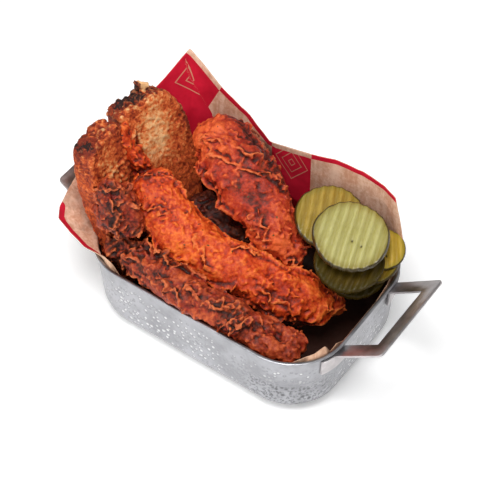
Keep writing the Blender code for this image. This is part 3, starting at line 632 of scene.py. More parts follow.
def frill(bm, tree, keys, path, height, lean, seed, push, crest):
    """A wavy strip of crust that stands along a path on a tender."""
    steps = 70
    rows = 6
    rings = []
    for step in range(steps + 1):
        share = step / steps
        t, turn = spline(path, share)
        x, y, z, width, thick = [v * MM for v in spline(keys, t)]
        ahead = Vector(spline(keys, min(t + 0.02, 1.0))[:3])
        behind = Vector(spline(keys, max(t - 0.02, 0.0))[:3])
        along = (ahead - behind).normalized()
        across = along.cross(FACING).normalized()
        outward = across.cross(along).normalized()
        angle = math.radians(turn)
        radial = across * math.cos(angle) * width + outward * math.sin(angle) * thick
        centre = Vector((x, y, z))
        hit = tree.ray_cast(centre, radial.normalized())[0]
        root = hit if hit is not None else centre + radial
        radial = radial.normalized()
        side = radial.cross(along).normalized()
        taper = min(1.0, share * 5, (1 - share) * 5)
        wave = noise.noise(Vector((share * 7.0, seed * 3.1, 0.5))) * 4.6 * MM
        tall = height * MM * taper * (0.85 + 0.8 * noise.noise(Vector((share * 6.0, seed * 1.7, 4.5))))
        ring = []
        back = []
        for row in range(rows + 1):
            up = row / rows
            bend = (lean * tall * 1.3 + 1.5 * MM * math.sin(share * 12.0 + seed)) * up * up
            curl = side * (wave * up + bend)
            point = root + radial * (tall * up - 1.4 * MM) + curl
            half = (1.0 - 0.35 * up) * 1.15 * MM
            ring.append(bm.verts.new(point + side * half))
            back.append(bm.verts.new(point - side * half))
            if row in (2, rows) and taper > 0.5:
                ring[-1][crest] = 1.0 if row == rows else -1.0
                back[-1][crest] = ring[-1][crest]
        ring += reversed(back)
        for vert in ring:
            vert[push] = radial
        rings.append(ring)
    for one, two in zip(rings, rings[1:]):
        for i in range(len(one)):
            j = (i + 1) % len(one)
            bm.faces.new((one[i], one[j], two[j], two[i]))
    bm.faces.new(rings[0])
    bm.faces.new(list(reversed(rings[-1])))


def random_frills(node, count, seed):
    """Short folds of crust at random places on a tender."""
    rng = random.Random(seed)
    made = []
    for _ in range(count):
        start = rng.uniform(0.02, 0.82)
        reach = rng.uniform(0.10, 0.24)
        turn = rng.uniform(-10, 170)
        swing = rng.uniform(-45, 45)
        path = tuple((start + reach * i / 3, turn + swing * i / 3 + rng.uniform(-10, 10)) for i in range(4))
        made.append((node, path, rng.uniform(2.6, 5.2), rng.uniform(-0.8, 0.8)))
    return made


def with_frills(item, node):
    """Add the tender's frills to its mesh and mark where it is calm and which way its surface is pushed."""
    values = spine_values(node, points_of(item.data))
    bm = bmesh.new()
    bm.from_mesh(item.data)
    bm.normal_update()
    calm = bm.verts.layers.float.new("calm")
    push = bm.verts.layers.float_vector.new("push")
    crest = bm.verts.layers.float.new("crest")
    for vert, value in zip(bm.verts, values["calm"]):
        vert[calm] = value
        vert[push] = vert.normal
    tree = BVHTree.FromBMesh(bm)
    chosen = [row for row in FRILLS if row[0] == node] + random_frills(node, MORE_FRILLS.get(node, 0), 7)
    for index, row in enumerate(chosen):
        frill(bm, tree, SPINES[node], *row[1:], index + 1.0, push, crest)
    mesh = bpy.data.meshes.new(node)
    bm.to_mesh(mesh)
    bm.free()
    item.data = mesh


def spine_values(node, points):
    """How calm the crust is at each point, and its tone of painted light and shade, from its place on the
    tender.
    """
    if node not in SPINES:
        return {"calm": np.zeros(len(points)), "tone": np.zeros(len(points))}
    keys = SPINES[node]
    shares = np.linspace(0, 1, 120)
    centre = []
    across = []
    outward = []
    for share in shares:
        x, y, z, width, thick = [v * MM for v in spline(keys, share)]
        along = Vector(spline(keys, min(share + 0.02, 1.0))[:3]) - Vector(
            spline(keys, max(share - 0.02, 0.0))[:3],
        )
        side = along.normalized().cross(FACING).normalized()
        centre.append((x, y, z))
        across.append(side / max(width, 0.001))
        outward.append(side.cross(along.normalized()).normalized() / max(thick, 0.001))
    centre = np.array(centre)
    across = np.array([tuple(v) for v in across])
    outward = np.array([tuple(v) for v in outward])
    near = np.empty(len(points), dtype=int)
    for start in range(0, len(points), 20000):
        block = points[start:start + 20000]
        gap = ((block[:, None, :] - centre[None, :, :]) ** 2).sum(axis=2)
        near[start:start + 20000] = gap.argmin(axis=1)
    off = points - centre[near]
    low = (off * across[near]).sum(axis=1)
    front = (off * outward[near]).sum(axis=1)
    turn = np.degrees(np.arctan2(front, low))
    share = shares[near]
    band = clamp01((turn - 25) / 25) * clamp01((165 - turn) / 25) * clamp01((share - 0.03) * 8)
    # Tone: painted light and shade, summed from the table.
    tone = np.zeros(len(points))
    for name, at, angle, reach, spread, amount in TONES:
        if name == node:
            tone += amount * np.exp(-((share - at) / reach) ** 2 - ((turn - angle) / spread) ** 2)
    return {"calm": band * CALM.get(node, 0.0), "tone": tone}


def crest_points(mesh):
    """Trees of the points along the crests of the frills and along their feet."""
    marks = np.zeros(len(mesh.vertices), dtype=np.float32)
    mesh.attributes["crest"].data.foreach_get("value", marks)
    points = points_of(mesh)
    trees = []
    for chosen in (points[marks > 0.9], points[marks < -0.9]):
        tree = KDTree(len(chosen))
        for index, point in enumerate(chosen):
            tree.insert(point, index)
        tree.balance()
        trees.append(tree)
    return trees


def nearness(tree, points, reach):
    """1 at a point of the tree, falling to 0 at the reach."""
    return clamp01(1.0 - np.array([tree.find(point)[2] for point in points]) / reach)


def keep_in_pan(points):
    """Move points that have gone through the basket's wall back inside it."""
    z = points[:, 2]
    flat = points[:, :2]
    core = np.array([PAN_LENGTH / 2 - PAN_CORNER, PAN_WIDTH / 2 - PAN_CORNER])
    nearest = np.clip(flat, -core, core)
    away = flat - nearest
    far = np.linalg.norm(away, axis=1)
    limit = PAN_CORNER - PAN_TAPER * (PAN_HEIGHT - PAN_WALL - z) - 2.2 * PAN_WALL
    limit = limit + np.clip((z - PAN_HEIGHT - PAN_WALL) * 3.0, 0.0, 1.0)
    share = np.where((far > limit) & (far > 1e-9), limit / np.maximum(far, 1e-9), 1.0)
    moved = points.copy()
    moved[:, :2] = nearest + away * share[:, None]
    return moved


def add_lumps(item, lumps):
    """Add round lumps to a mesh; the remesh that follows joins them to it."""
    bm = bmesh.new()
    bm.from_mesh(item.data)
    for x, y, z, radius in lumps:
        made = bmesh.ops.create_icosphere(bm, subdivisions=2, radius=radius * MM)["verts"]
        bmesh.ops.translate(bm, vec=Vector((x, y, z)) * MM, verts=made)
    bm.to_mesh(item.data)
    bm.free()


def make_tender(node, settings, folds, crumbs, index):
    fold_size, fold_depth, flakes, crumb_size, crumb_depth, colours = CRUSTS[node]
    item = copy_of_node(node, node + "_crust")
    if node == "tender_1":
        add_lumps(item, TONGUE)
    remesh(item, 1.1 * MM)
    soften(item, 6)
    plain(item)
    with_frills(item, node)
    material = crust_material(node + "_crust", colours)
    add_nodes(
        item, folds, Fold_Size=fold_size * MM, Fold_Depth=fold_depth * settings.fold_strength * MM,
        Flake_Density=flakes * 10000.0 * settings.flake_share, Flake_Size=settings.flake_size, Seed=index,
        Material=material,
    )
    plain(item)
    crests, feet = crest_points(item.data)
    remesh(item, settings.mesh_size)
    add_nodes(
        item, crumbs, Crumb_Size=crumb_size * MM, Crumb_Depth=crumb_depth * MM, Seed=index, Material=material
    )
    plain(item)
    points = keep_in_pan(points_of(item.data))
    set_points(item.data, points)
    tone = spine_values(node, points)["tone"]
    edge = np.zeros(len(points))
    if node in SPINES:
        # Edge marks the frill crests for the crest colour, partly painted highlight; the feet of the frills
        # get painted shade.
        edge = nearness(crests, points, 1.7 * MM)
        tone = tone - 0.65 * nearness(feet, points, 2.2 * MM) * (1.0 - edge)
    set_values(item.data, "tone", tone)
    set_values(item.data, "edge", edge)
    item.data.shade_smooth()
    finish_piece(item, node, node)
    return item


# Toast.


def toast_axes(node):
    facts = TOASTS[node]
    yaw = math.radians(facts["yaw"])
    lean = math.radians(facts["lean"])
    across = Vector((math.sin(yaw), math.cos(yaw), 0))
    level = Vector((math.cos(yaw), -math.sin(yaw), 0))
    down = level * math.sin(lean) + Vector((0, 0, -math.cos(lean)))
    facing = level * math.cos(lean) + Vector((0, 0, math.sin(lean)))
    return Vector(facts["top"]), across, down, facing


def toast_tree():
    """Roughen bread with pores and soft lumps, and with blocks where it is charred."""
    graph, given = new_tree("Toast Crumb", "Pore Size", "Pore Depth", "Char Size", "Char Depth")
    place, moved, normal = surface(graph, given, 0.71)
    per_pore = 1.0 / given["Pore Size"]
    warp = graph.vector("SUBTRACT", graph.noise(moved, per_pore, 2.0).other("Color"), (0.5, 0.5, 0.5))
    warp = graph.vector("SCALE", warp, given["Pore Size"] * 1.2)
    pores = graph.cells(graph.vector("ADD", moved, warp), per_pore, feature="SMOOTH_F1")
    crumb = (pores - 0.42) * given["Pore Depth"]
    soft = (graph.noise(moved, per_pore * 0.3, 3.0) - 0.5) * (given["Pore Depth"] * 2.4)
    blocks = graph.cells(moved, 1.0 / given["Char Size"], distance="CHEBYCHEV").other("Color")
    block = graph.vector("DOT_PRODUCT", blocks, (0.5, 0.5, 0.0)) - 0.5
    height = crumb + soft + block * given["Char Depth"] * stored(graph, "char")
    shape = shifted(graph, given, graph.vector("SCALE", normal, height))
    return close_tree(graph, given, keep_relief(graph, shape, "relief", place, normal, 6))


def toast_material(name, tone):
    """Grilled bread: mottled tan and orange, browner low down, black and maroon where charred, with painted
    shade in its pores and a paler middle that is partly lighter crumb and partly painted light.
    """
    made, graph, shader, place = new_shader(name)
    char, relief, pale, spice = attributes(graph, "char", "relief", "pale", "spice")
    fine = graph.noise(place, 420.0, 5.0, 0.7, 1.2)
    broad = graph.noise(place, 90.0, 3.0, 0.6, 0.5)
    level = (fine - 0.5) * 2.6 + relief * 1.6 + (broad - 0.5) * 1.8 + (pale - 0.5) * 1.1
    level = level * 0.5 + tone
    stops = (
        (0.04, srgb((92, 26, 10))), (0.28, srgb((164, 60, 24))), (0.48, srgb((206, 96, 42))),
        (0.68, srgb((222, 142, 82))), (0.92, srgb((238, 188, 132))),
    )
    colour = graph.ramp(level, stops)
    spice = spice * graph.span(broad, 0.32, 0.58, 0.35, 1.0)
    crust = graph.mix(graph.span(fine, 0.35, 0.65), srgb((140, 44, 18)), srgb((230, 106, 46)))
    colour = graph.mix(spice * 0.85, colour, crust)
    burnt = graph.noise(place, 260.0, 4.0, 0.7, 0.6)
    some = (burnt - 0.5) * 2.6
    amount = char + some * graph.span(char, 0.05, 0.4)
    colour = graph.mix(graph.span(amount, 0.15, 0.6) * 0.85, colour, srgb((116, 36, 18)))
    colour = graph.mix(graph.span(amount, 0.66, 0.92), colour, srgb((40, 22, 18)))
    wire(graph, shader, Base_Color=colour, Roughness=graph.span(fine, 0.3, 0.7, 0.6, 0.85))
    wire(graph, shader, Specular_IOR_Level=0.3, Subsurface_Weight=0.05, Subsurface_Scale=0.002)
    bump(graph, shader, graph.noise(place, 1500.0, 4.0, 0.7), 0.0005, 0.7)
    return made


def clamp01(values):
    return np.clip(values, 0.0, 1.0)


def add_flake(item):
    """A crisp flake that stands on the top edge of the slice: a stem with a bar across it."""
    level = Vector(CAMERA_RIGHT)
    bm = bmesh.new()
    bm.from_mesh(item.data)
    for centre, size in FLAKE:
        made = bmesh.ops.create_cube(bm, size=1.0)["verts"]
        for vert in made:
            x, y, z = vert.co.x * size[0], vert.co.y * size[1], vert.co.z * size[2]
            turned = level * x + Vector((-level.y, level.x, 0)) * y + Vector((0, 0, z))
            vert.co = Vector(centre) * MM + turned * MM
    bm.to_mesh(item.data)
    bm.free()


def make_toast(node, tree, index):
    item = copy_of_node(node, node + "_slice")
    if node == "toast_a":
        add_flake(item)
    remesh(item, 0.6 * MM)
    soften(item, 5)
    plain(item)
    top, across, down, facing = toast_axes(node)
    local = points_of(item.data) - np.array(top)
    u = local @ np.array(across) / MM
    v = local @ np.array(down) / MM
    w = -(local @ np.array(facing)) / MM
    back = clamp01((w - 2.0) / 3.0)
    lumps = np.array([
        noise.noise(Vector(point) / 0.0055) + 0.6 * noise.noise(Vector(point) / 0.0024) for point in local
    ])
    if node == "toast_a":
        high = clamp01((13.0 - v) / 9.0)
        spot = np.exp(-((u + 4.0) / 9.0) ** 2 - ((w - 9.0) / 6.0) ** 2)
        char = high * back * (0.44 + 0.22 * spot) + 0.28 * clamp01((4.0 - v) / 4.0)
        char = np.maximum(char, 0.50 * clamp01((u - 18.5 - v * 0.08) / 3.5) * clamp01((46 - v) / 16))
        # Painted shadow: a thin groove down the front face, sunk and darkened with char colour.
        gap = np.exp(-((u + 10.0) / 1.5) ** 2) * clamp01((v - 10) / 5) * clamp01(3.0 - w)
        char = np.maximum(char, 0.6 * gap)
        # Paler middle: partly lighter crumb, partly painted light.
        pale = np.exp(-((u - 2.0) / 13.0) ** 2 - ((v - 24.0) / 25.0) ** 2)
        strip = np.exp(-((u + 14.5 - 1.5 * lumps) / 3.4) ** 2) * clamp01((v - 9) / 6) * clamp01(4.0 - w)
        lift = strip * (3.2 + 2.4 * lumps) - gap * 2.2 + 0.5 * lumps
        spice = np.maximum(0.85 * strip, clamp01((v - 30.0) / 24.0))
    else:
        spot = np.exp(-((u + 12.0) / 7.0) ** 2)
        char = clamp01((11.0 - v) / 8.0) * (0.46 + 0.36 * spot) * clamp01(0.6 + back)
        char = np.maximum(char, 0.6 * clamp01((-u - 15.0) / 3.0) * clamp01((22.0 - v) / 8.0))
        # Painted shade: the lowest band of the slice, down in the basket, gets dark maroon char colour.
        char = np.maximum(char, 0.45 * clamp01((v - 56.0) / 10.0))
        pale = 0.75 * np.exp(-((u + 4.0) / 10.0) ** 2 - ((v - 18.0) / 16.0) ** 2)
        lift = 2.0 * lumps * clamp01((v - 16) / 10) * clamp01(4.0 - w) + 0.4 * lumps
        spice = clamp01((v - 20.0) / 24.0) * 0.8
    flake = clamp01(-v - 0.5) * clamp01((u - 4.0) / 2.0)
    char = char * (1.0 - flake)
    pale = np.maximum(pale, 1.2 * flake)
    points = points_of(item.data) + np.outer(lift, np.array(facing)) * MM
    ragged = lumps * clamp01((9.0 - v) / 7.0) * 1.9
    points = points - np.outer(ragged, np.array(down)) * MM
    set_points(item.data, points)
    set_values(item.data, "char", char)
    set_values(item.data, "pale", pale)
    set_values(item.data, "spice", spice)
    # toast_b's lower level paints the shade that falls on it.
    material = toast_material(node + "_slice", 0.56 if node == "toast_a" else 0.47)
    add_nodes(
        item, tree, Pore_Size=2.4 * MM, Pore_Depth=1.0 * MM, Char_Size=2.6 * MM, Char_Depth=2.8 * MM,
        Seed=index, Material=material,
    )
    plain(item)
    item.data.shade_smooth()
    finish_piece(item, node, node)
    return item


# Pickle chips.


def make_pickle(node, index):
    """A crinkle-cut chip: ridges run right through it, and its skin is darker."""
    centre, radius, facing, ridges = PICKLES[node]
    rng = random.Random(100 + index)
    normal = Vector(facing).normalized()
    level = Vector((0, 0, 1)).cross(normal).normalized()
    rise = normal.cross(level)
    turn = math.radians(ridges)
    ridge_way = level * math.cos(turn) + rise * math.sin(turn)
    column_way = normal.cross(ridge_way)
    middle = Vector(centre) * MM
    radius *= MM
    around = 180
    rings = 46
    half = 1.75 * MM
    bend = 3.0 * MM
    ridge_height = 0.46 * MM
    ridge_pitch = 5.2e-3
    rough_height = 0.10 * MM
    pit_depth = 0.7 * MM
    seed_depth = 0.16 * MM
    seeds = [(0.42 + 0.16 * rng.random(), i * 2 * math.pi / 9 + rng.random() * 0.5) for i in range(9)]
    pits = PITS if index == 0 else [(rng.uniform(-7, 7), rng.uniform(-7, 7)) for _ in range(2)]
    profile = [(step / rings, 1.0) for step in range(1, rings - 3)]
    profile += [((rings - 3.2) / rings, 0.97), ((rings - 2.2) / rings, 0.86), ((rings - 1.3) / rings, 0.6)]
    profile += [(0.985, 0.3), (0.99, 0.0), (0.985, -0.3)]
    profile += [(share, -rise_share) for share, rise_share in reversed(profile[: rings - 1])]
    points = []
    radial = []
    pit_values = []
    ridge_values = []

    def near(a, b, wide_a, wide_b):
        return math.exp(-((a / wide_a) ** 2 + (b / wide_b) ** 2))

    def add_point(share, angle, side):
        wobble = 1.0 + 0.018 * math.sin(2 * angle + index) + 0.008 * math.sin(5 * angle + 2 * index)
        r = share * radius * wobble
        a = r * math.cos(angle)
        b = r * math.sin(angle)
        sway = 0.6 * math.sin(a / radius * 2 + index)
        wave = ridge_height * math.sin(2 * math.pi * b / ridge_pitch + sway)
        rough = rough_height * noise.noise(Vector((a, b, index)) / 0.004)
        sag = -bend * (a / radius) ** 2 * 0.35
        dent = 0.0
        seed_value = 0.0
        for pit_a, pit_b in pits:
            amount = near(a - pit_a * MM, b - pit_b * MM, 1.1e-3, 0.7e-3)
            dent += pit_depth * amount
            seed_value = max(seed_value, amount)
        for seed_share, seed_angle in seeds:
            da = a - seed_share * radius * math.cos(seed_angle)
            db = b - seed_share * radius * math.sin(seed_angle)
            along = da * math.cos(seed_angle) + db * math.sin(seed_angle)
            beside = -da * math.sin(seed_angle) + db * math.cos(seed_angle)
            amount = near(along, beside, 2.2e-3, 1.1e-3)
            dent += seed_depth * amount
            seed_value = max(seed_value, amount * 0.35)
        height = wave + rough + sag + side * half - side * dent * (1.0 if abs(side) > 0.9 else 0.0)
        points.append(middle + ridge_way * a + column_way * b + normal * height)
        radial.append(share)
        pit_values.append(seed_value)
        ridge_values.append(wave / MM)

    add_point(0.0, 0.0, 1.0)
    for share, side in profile:
        for step in range(around):
            add_point(share, 2 * math.pi * step / around, side)
    add_point(0.0, 0.0, -1.0)
    faces = [(0, 1 + i, 1 + (i + 1) % around) for i in range(around)]
    for ring in range(len(profile) - 1):
        one = 1 + ring * around
        two = one + around
        for i in range(around):
            j = (i + 1) % around
            faces.append((one + i, two + i, two + j, one + j))
    end = len(points) - 1
    one = 1 + (len(profile) - 1) * around
    faces += [(end, one + (i + 1) % around, one + i) for i in range(around)]
    mesh = mesh_from(node + "_chip", points, faces)
    face_out(mesh)
    mesh.shade_smooth()
    for label, values in (("radial", radial), ("pit", pit_values), ("ridge", ridge_values)):
        set_values(mesh, label, values)
    item = link_object(node + "_chip", mesh)
    mesh.materials.append(pickle_material(node + "_chip", ridge_way, column_way, index))
    finish_piece(item, node, node)
    return item


def pickle_material(name, ridge_way, column_way, index):
    made, graph, shader, place = new_shader(name)
    radial, pit, ridge = attributes(graph, "radial", "pit", "ridge")
    a = graph.vector("DOT_PRODUCT", place, tuple(ridge_way))
    b = graph.vector("DOT_PRODUCT", place, tuple(column_way))
    flat = graph.out("ShaderNodeCombineXYZ", {0: a * 0.12, 1: b, 2: index * 0.3})
    streak = graph.noise(flat, 900.0, 3.0, 0.6)
    cloud = graph.noise(place, 140.0, 3.0, 0.6)
    # shade darkens the lower chips, which lie in the upper chips' shadow, and lightens pickle_5; the lower
    # chips also get less coat and shine.
    tint = (0.0, 0.85, 1.0, 0.8, 1.0, 1.0)[index]
    shade = (1.0, 0.98, 0.46, 1.12, 0.78, 0.40)[index]
    light = graph.mix(tint, srgb((182, 176, 112)), srgb([part * shade for part in (174, 140, 42)]))
    dull = graph.mix(tint, srgb((162, 154, 86)), srgb([part * shade for part in (146, 114, 22)]))
    # Ridge crests lighter and grooves darker: painted light and shade, over random streaks and clouds.
    amount = streak * 0.8 + cloud * 0.8 + ridge * 0.55
    flesh = graph.mix(graph.span(amount, 0.55, 1.25), dull, light)
    edge = graph.span(radial + (cloud - 0.5) * 0.16, 0.7, 0.95)
    flesh = graph.mix(edge * 0.75, flesh, srgb([part * shade for part in (128, 112, 34)]))
    skin = graph.span(radial, 0.915, 0.955)
    flesh = graph.mix(skin, flesh, srgb((58, 46, 10)))
    flesh = graph.mix(graph.span(pit, 0.3, 0.85), flesh, srgb((70, 62, 14)))
    wire(graph, shader, Base_Color=flesh, Roughness=graph.span(streak, 0.3, 0.7, 0.22, 0.42))
    moist = 0.25 if index < 2 else 0.06
    wire(graph, shader, Specular_IOR_Level=2 * moist, Subsurface_Weight=0.18, Subsurface_Scale=0.003)
    wire(graph, shader, Coat_Weight=moist, Coat_Roughness=0.15)
    shader.inputs["Subsurface Radius"].default_value = (0.9, 1.0, 0.3)
    bump(graph, shader, streak + graph.noise(place, 1300.0, 3.0), 0.0004, 0.5)
    return made


# Pan and handles.


def rim_columns(count):
    """Core points and level outward directions of the rim, at equal steps round it."""
    straight_x = PAN_LENGTH / 2 - PAN_CORNER
    straight_y = PAN_WIDTH / 2 - PAN_CORNER
    arc = math.pi * PAN_CORNER / 2
    total = 4 * straight_x + 4 * straight_y + 4 * arc
    runs = (straight_x, arc, 2 * straight_y, arc, 2 * straight_x, arc, 2 * straight_y, arc, straight_x)
    core = []
    out = []
    for step in range(count):
        left = total * step / count
        run = 0
        while run < 8 and left > runs[run]:
            left -= runs[run]
            run += 1
        angle = left / PAN_CORNER
        if run % 2:
            quarter = (run - 1) // 2
            turn = -math.pi / 2 + quarter * math.pi / 2 + angle
            corner = ((1, -1), (1, 1), (-1, 1), (-1, -1))[quarter]
            core.append((corner[0] * straight_x, corner[1] * straight_y))
            out.append((math.cos(turn), math.sin(turn)))
        else:
            place, way = {
                0: ((left, -straight_y), (0, -1)),
                2: ((straight_x, -straight_y + left), (1, 0)),
                4: ((straight_x - left, straight_y), (0, 1)),
                6: ((-straight_x, straight_y - left), (-1, 0)),
                8: ((-straight_x + left, -straight_y), (0, -1)),
            }[run]
            core.append(place)
            out.append(way)
    return np.array(core), np.array(out, dtype=float)


def wall_ring(core, out, z, inset):
    reach = PAN_CORNER - PAN_TAPER * (PAN_HEIGHT - PAN_WALL - z) - inset
    flat = core + out * reach
    return np.column_stack([flat, np.full(len(core), z)])


def floor_ring(core, out, z, inset, share):
    ring = wall_ring(core, out, z, inset)
    ring[:, :2] *= share
    return ring


def bowl_rings(core, out, inset, floor_z, top_z, rows, bend_rows, floor_shares):
    """Rings of one skin of the basket, from the middle of its floor to top_z."""
    bend = PAN_FILLET - inset
    rings = [floor_ring(core, out, floor_z, inset + bend, share) for share in floor_shares]
    for step in range(bend_rows + 1):
        turn = math.pi / 2 * step / bend_rows
        rings.append(
            wall_ring(core, out, floor_z + bend * (1 - math.cos(turn)), inset + bend * (1 - math.sin(turn)))
        )
    start = floor_z + bend
    for row in range(1, rows + 1):
        rings.append(wall_ring(core, out, start + (top_z - start) * row / rows, inset))
    return rings


def rings_to_mesh(name, rings, close_start, close_end):
    """Quads between rings of equal count, with a fan to a middle point at each closed end."""
    count = len(rings[0])
    points = np.concatenate(rings)
    faces = []
    for ring in range(len(rings) - 1):
        one = ring * count
        two = one + count
        faces += [(one + i, one + (i + 1) % count, two + (i + 1) % count, two + i) for i in range(count)]
    extra = []
    if close_start:
        extra.append(rings[0].mean(axis=0))
        pole = len(points)
        faces += [((i + 1) % count, i, pole) for i in range(count)]
    if close_end:
        extra.append(rings[-1].mean(axis=0))
        pole = len(points) + len(extra) - 1
        first = (len(rings) - 1) * count
        faces += [(first + i, first + (i + 1) % count, pole) for i in range(count)]
    if extra:
        points = np.concatenate([points, np.array(extra)])
    return mesh_from(name, points, faces)


def hammer_tree():
    """Dent a wall with round hammer marks where the mask allows."""
    graph, given = new_tree("Hammer Marks", "Mark Size", "Mark Depth")
    moved, normal = surface(graph, given, 0.31)[1:]
    mask = stored(graph, "hammered")
    per_size = 1.0 / given["Mark Size"]
    marks = graph.cells(moved, per_size, 0.85)
    dent = graph.span(marks, 0.08, 0.52, 1.0, 0.0)
    strength = graph.vector("DOT_PRODUCT", marks.other("Color"), (0.6, 0.4, 0.0))
    amount = dent * strength * graph.span(graph.noise(moved, 28.0, 1.0), 0.35, 0.6, 0.6, 1.2)
    pecks = graph.span(graph.cells(moved, per_size * 2.1), 0.12, 0.5, 0.75, 0.0) * stored(graph, "dense")
    amount = graph.math("MAXIMUM", amount, pecks) * mask
    depth = amount * given["Mark Depth"]
    shape = shifted(graph, given, graph.vector("SCALE", normal, depth * -1.0))
    return close_tree(graph, given, keep(graph, shape, "mark", amount))


def steel_material(name, tone, rough, scratch):
    """Satin steel with faint cloudy wear and fine scratches; each hammer dent gets a painted dark ring and a
    painted white highlight in its middle, painted dark where the marks are dense.
    """
    made, graph, shader, place = new_shader(name)
    cloud = graph.noise(place, 60.0, 4.0, 0.6)
    fine = graph.noise(graph.vector("MULTIPLY", place, (1.0, 1.0, 9.0)), 500.0, 3.0, 0.6)
    light = srgb([min(255, part * 1.05) for part in tone])
    dull = srgb([part * 0.86 for part in tone])
    colour = graph.mix(graph.span(cloud, 0.3, 0.7), dull, light)
    mark, dense = attributes(graph, "mark", "dense")
    # Painted highlight white in the middle of the dents, painted dark reflection where the marks are dense.
    middle = graph.mix(dense, srgb((244, 244, 244)), srgb([part * 0.55 for part in tone]))
    colour = graph.mix(graph.span(mark, 0.03, 0.14), colour, srgb([part * 0.86 for part in tone]))
    colour = graph.mix(graph.span(mark, 0.13, 0.48, 0.0, 0.66), colour, middle)
    wire(graph, shader, Base_Color=colour, Metallic=1.0)
    rough_value = graph.span(cloud, 0.3, 0.7, rough - 0.05, rough + 0.06) + fine * 0.06
    wire(graph, shader, Roughness=rough_value)
    bump(graph, shader, fine, scratch, 0.5)
    return made


def make_pan(settings):
    count = PAN_COLUMNS
    core, out = rim_columns(count)
    shares = (0.12, 0.3, 0.5, 0.7, 0.88)
    outer = bowl_rings(core, out, 0.0, 0.0, PAN_HEIGHT - PAN_WALL - 0.0002, 60, 16, shares)
    split = len(outer)
    lip = [
        wall_ring(core, out, PAN_HEIGHT - PAN_WALL, -0.0002),
        wall_ring(core, out, PAN_HEIGHT - PAN_WALL, -LIP_WIDTH * 0.85),
        wall_ring(core, out, PAN_HEIGHT - PAN_WALL * 0.75, -LIP_WIDTH),
        wall_ring(core, out, PAN_HEIGHT - PAN_WALL * 0.25, -LIP_WIDTH),
        wall_ring(core, out, PAN_HEIGHT, -LIP_WIDTH * 0.75),
        wall_ring(core, out, PAN_HEIGHT, PAN_WALL * 0.5),
        wall_ring(core, out, PAN_HEIGHT - PAN_WALL * 0.4, PAN_WALL),
    ]
    inner = bowl_rings(core, out, PAN_WALL, PAN_WALL, PAN_HEIGHT - PAN_WALL * 1.2, 12, 6, shares)
    rings = outer + lip + list(reversed(inner))
    mesh = rings_to_mesh("pan_steel", rings, True, True)
    face_out(mesh)
    points = points_of(mesh)
    z = points[:, 2]
    mask = clamp01((z - 2.0 * MM) / (4 * MM)) * clamp01((settings.smooth_band_from - z) / (3 * MM))
    mask[split * count:] = 0.0
    set_values(mesh, "hammered", mask)
    x, y = points[:, 0] / MM, points[:, 1] / MM
    # Dense corner: finer dents whose middles are painted dark.
    corner = clamp01((x - 22.0) / 22.0) * clamp01((-y - 22.0) / 14.0) * clamp01((34.0 - z / MM) / 10.0)
    set_values(mesh, "dense", corner)
    item = link_object("pan_steel", mesh)
    material = steel_material("pan_steel", (170, 170, 174), 0.30, 0.0001)
    add_nodes(
        item, hammer_tree(), Mark_Size=settings.mark_size, Mark_Depth=settings.mark_depth, Seed=3,
        Material=material,
    )
    plain(item)
    item.data.shade_smooth()
    finish_piece(item, "pan", "pan")
    return item


def make_handle(node):
    item = copy_of_node(node, node + "_strip")
    bm = bmesh.new()
    bm.from_mesh(item.data)
    bmesh.ops.dissolve_limit(bm, angle_limit=math.radians(3), verts=bm.verts, edges=bm.edges)
    bm.to_mesh(item.data)
    bm.free()
    bevel = item.modifiers.new("edges", "BEVEL")
    bevel.width = 0.22 * MM
    bevel.segments = 2
    bevel.limit_method = "ANGLE"
    bevel.angle_limit = math.radians(35)
    plain(item)
    item.data.shade_smooth()
    item.data.materials.clear()
    # The left handle's darker tone paints the shade and dim reflection on it.
    tone = (150, 140, 138) if node == "handle_left" else (204, 198, 198)
    item.data.materials.append(steel_material(node + "_strip", tone, 0.34, 0.00012))
    finish_piece(item, node, node)
    return item


# Paper.


def loop_angle(x, y):
    """Turn round the basket of a point, from the near side's middle towards +X."""
    return math.atan2(x / PAN_LENGTH, -y / PAN_WIDTH) % (2 * math.pi)


def paper_top(angle, hidden, keys):
    for (low, a), (high, b) in zip(keys, keys[1:]):
        if low <= angle <= high:
            return a.lerp(b, (angle - low) / (high - low))
    return hidden


def paper_tree():
    """Crease loose paper with shallow folds and soft waves."""
    graph, given = new_tree("Paper Creases", "Crease Size", "Crease Depth")
    moved, normal = surface(graph, given, 0.43)[1:]
    per_size = 1.0 / given["Crease Size"]
    crease = abs(graph.noise(moved, per_size, 2.0, 0.5, 0.3) - 0.5)
    wave = graph.noise(moved, per_size * 0.6) - 0.5
    depth = (crease * 2.0 + wave * 3.0) * given["Crease Depth"] * stored(graph, "loose")
    return close_tree(graph, given, shifted(graph, given, graph.vector("SCALE", normal, depth)))


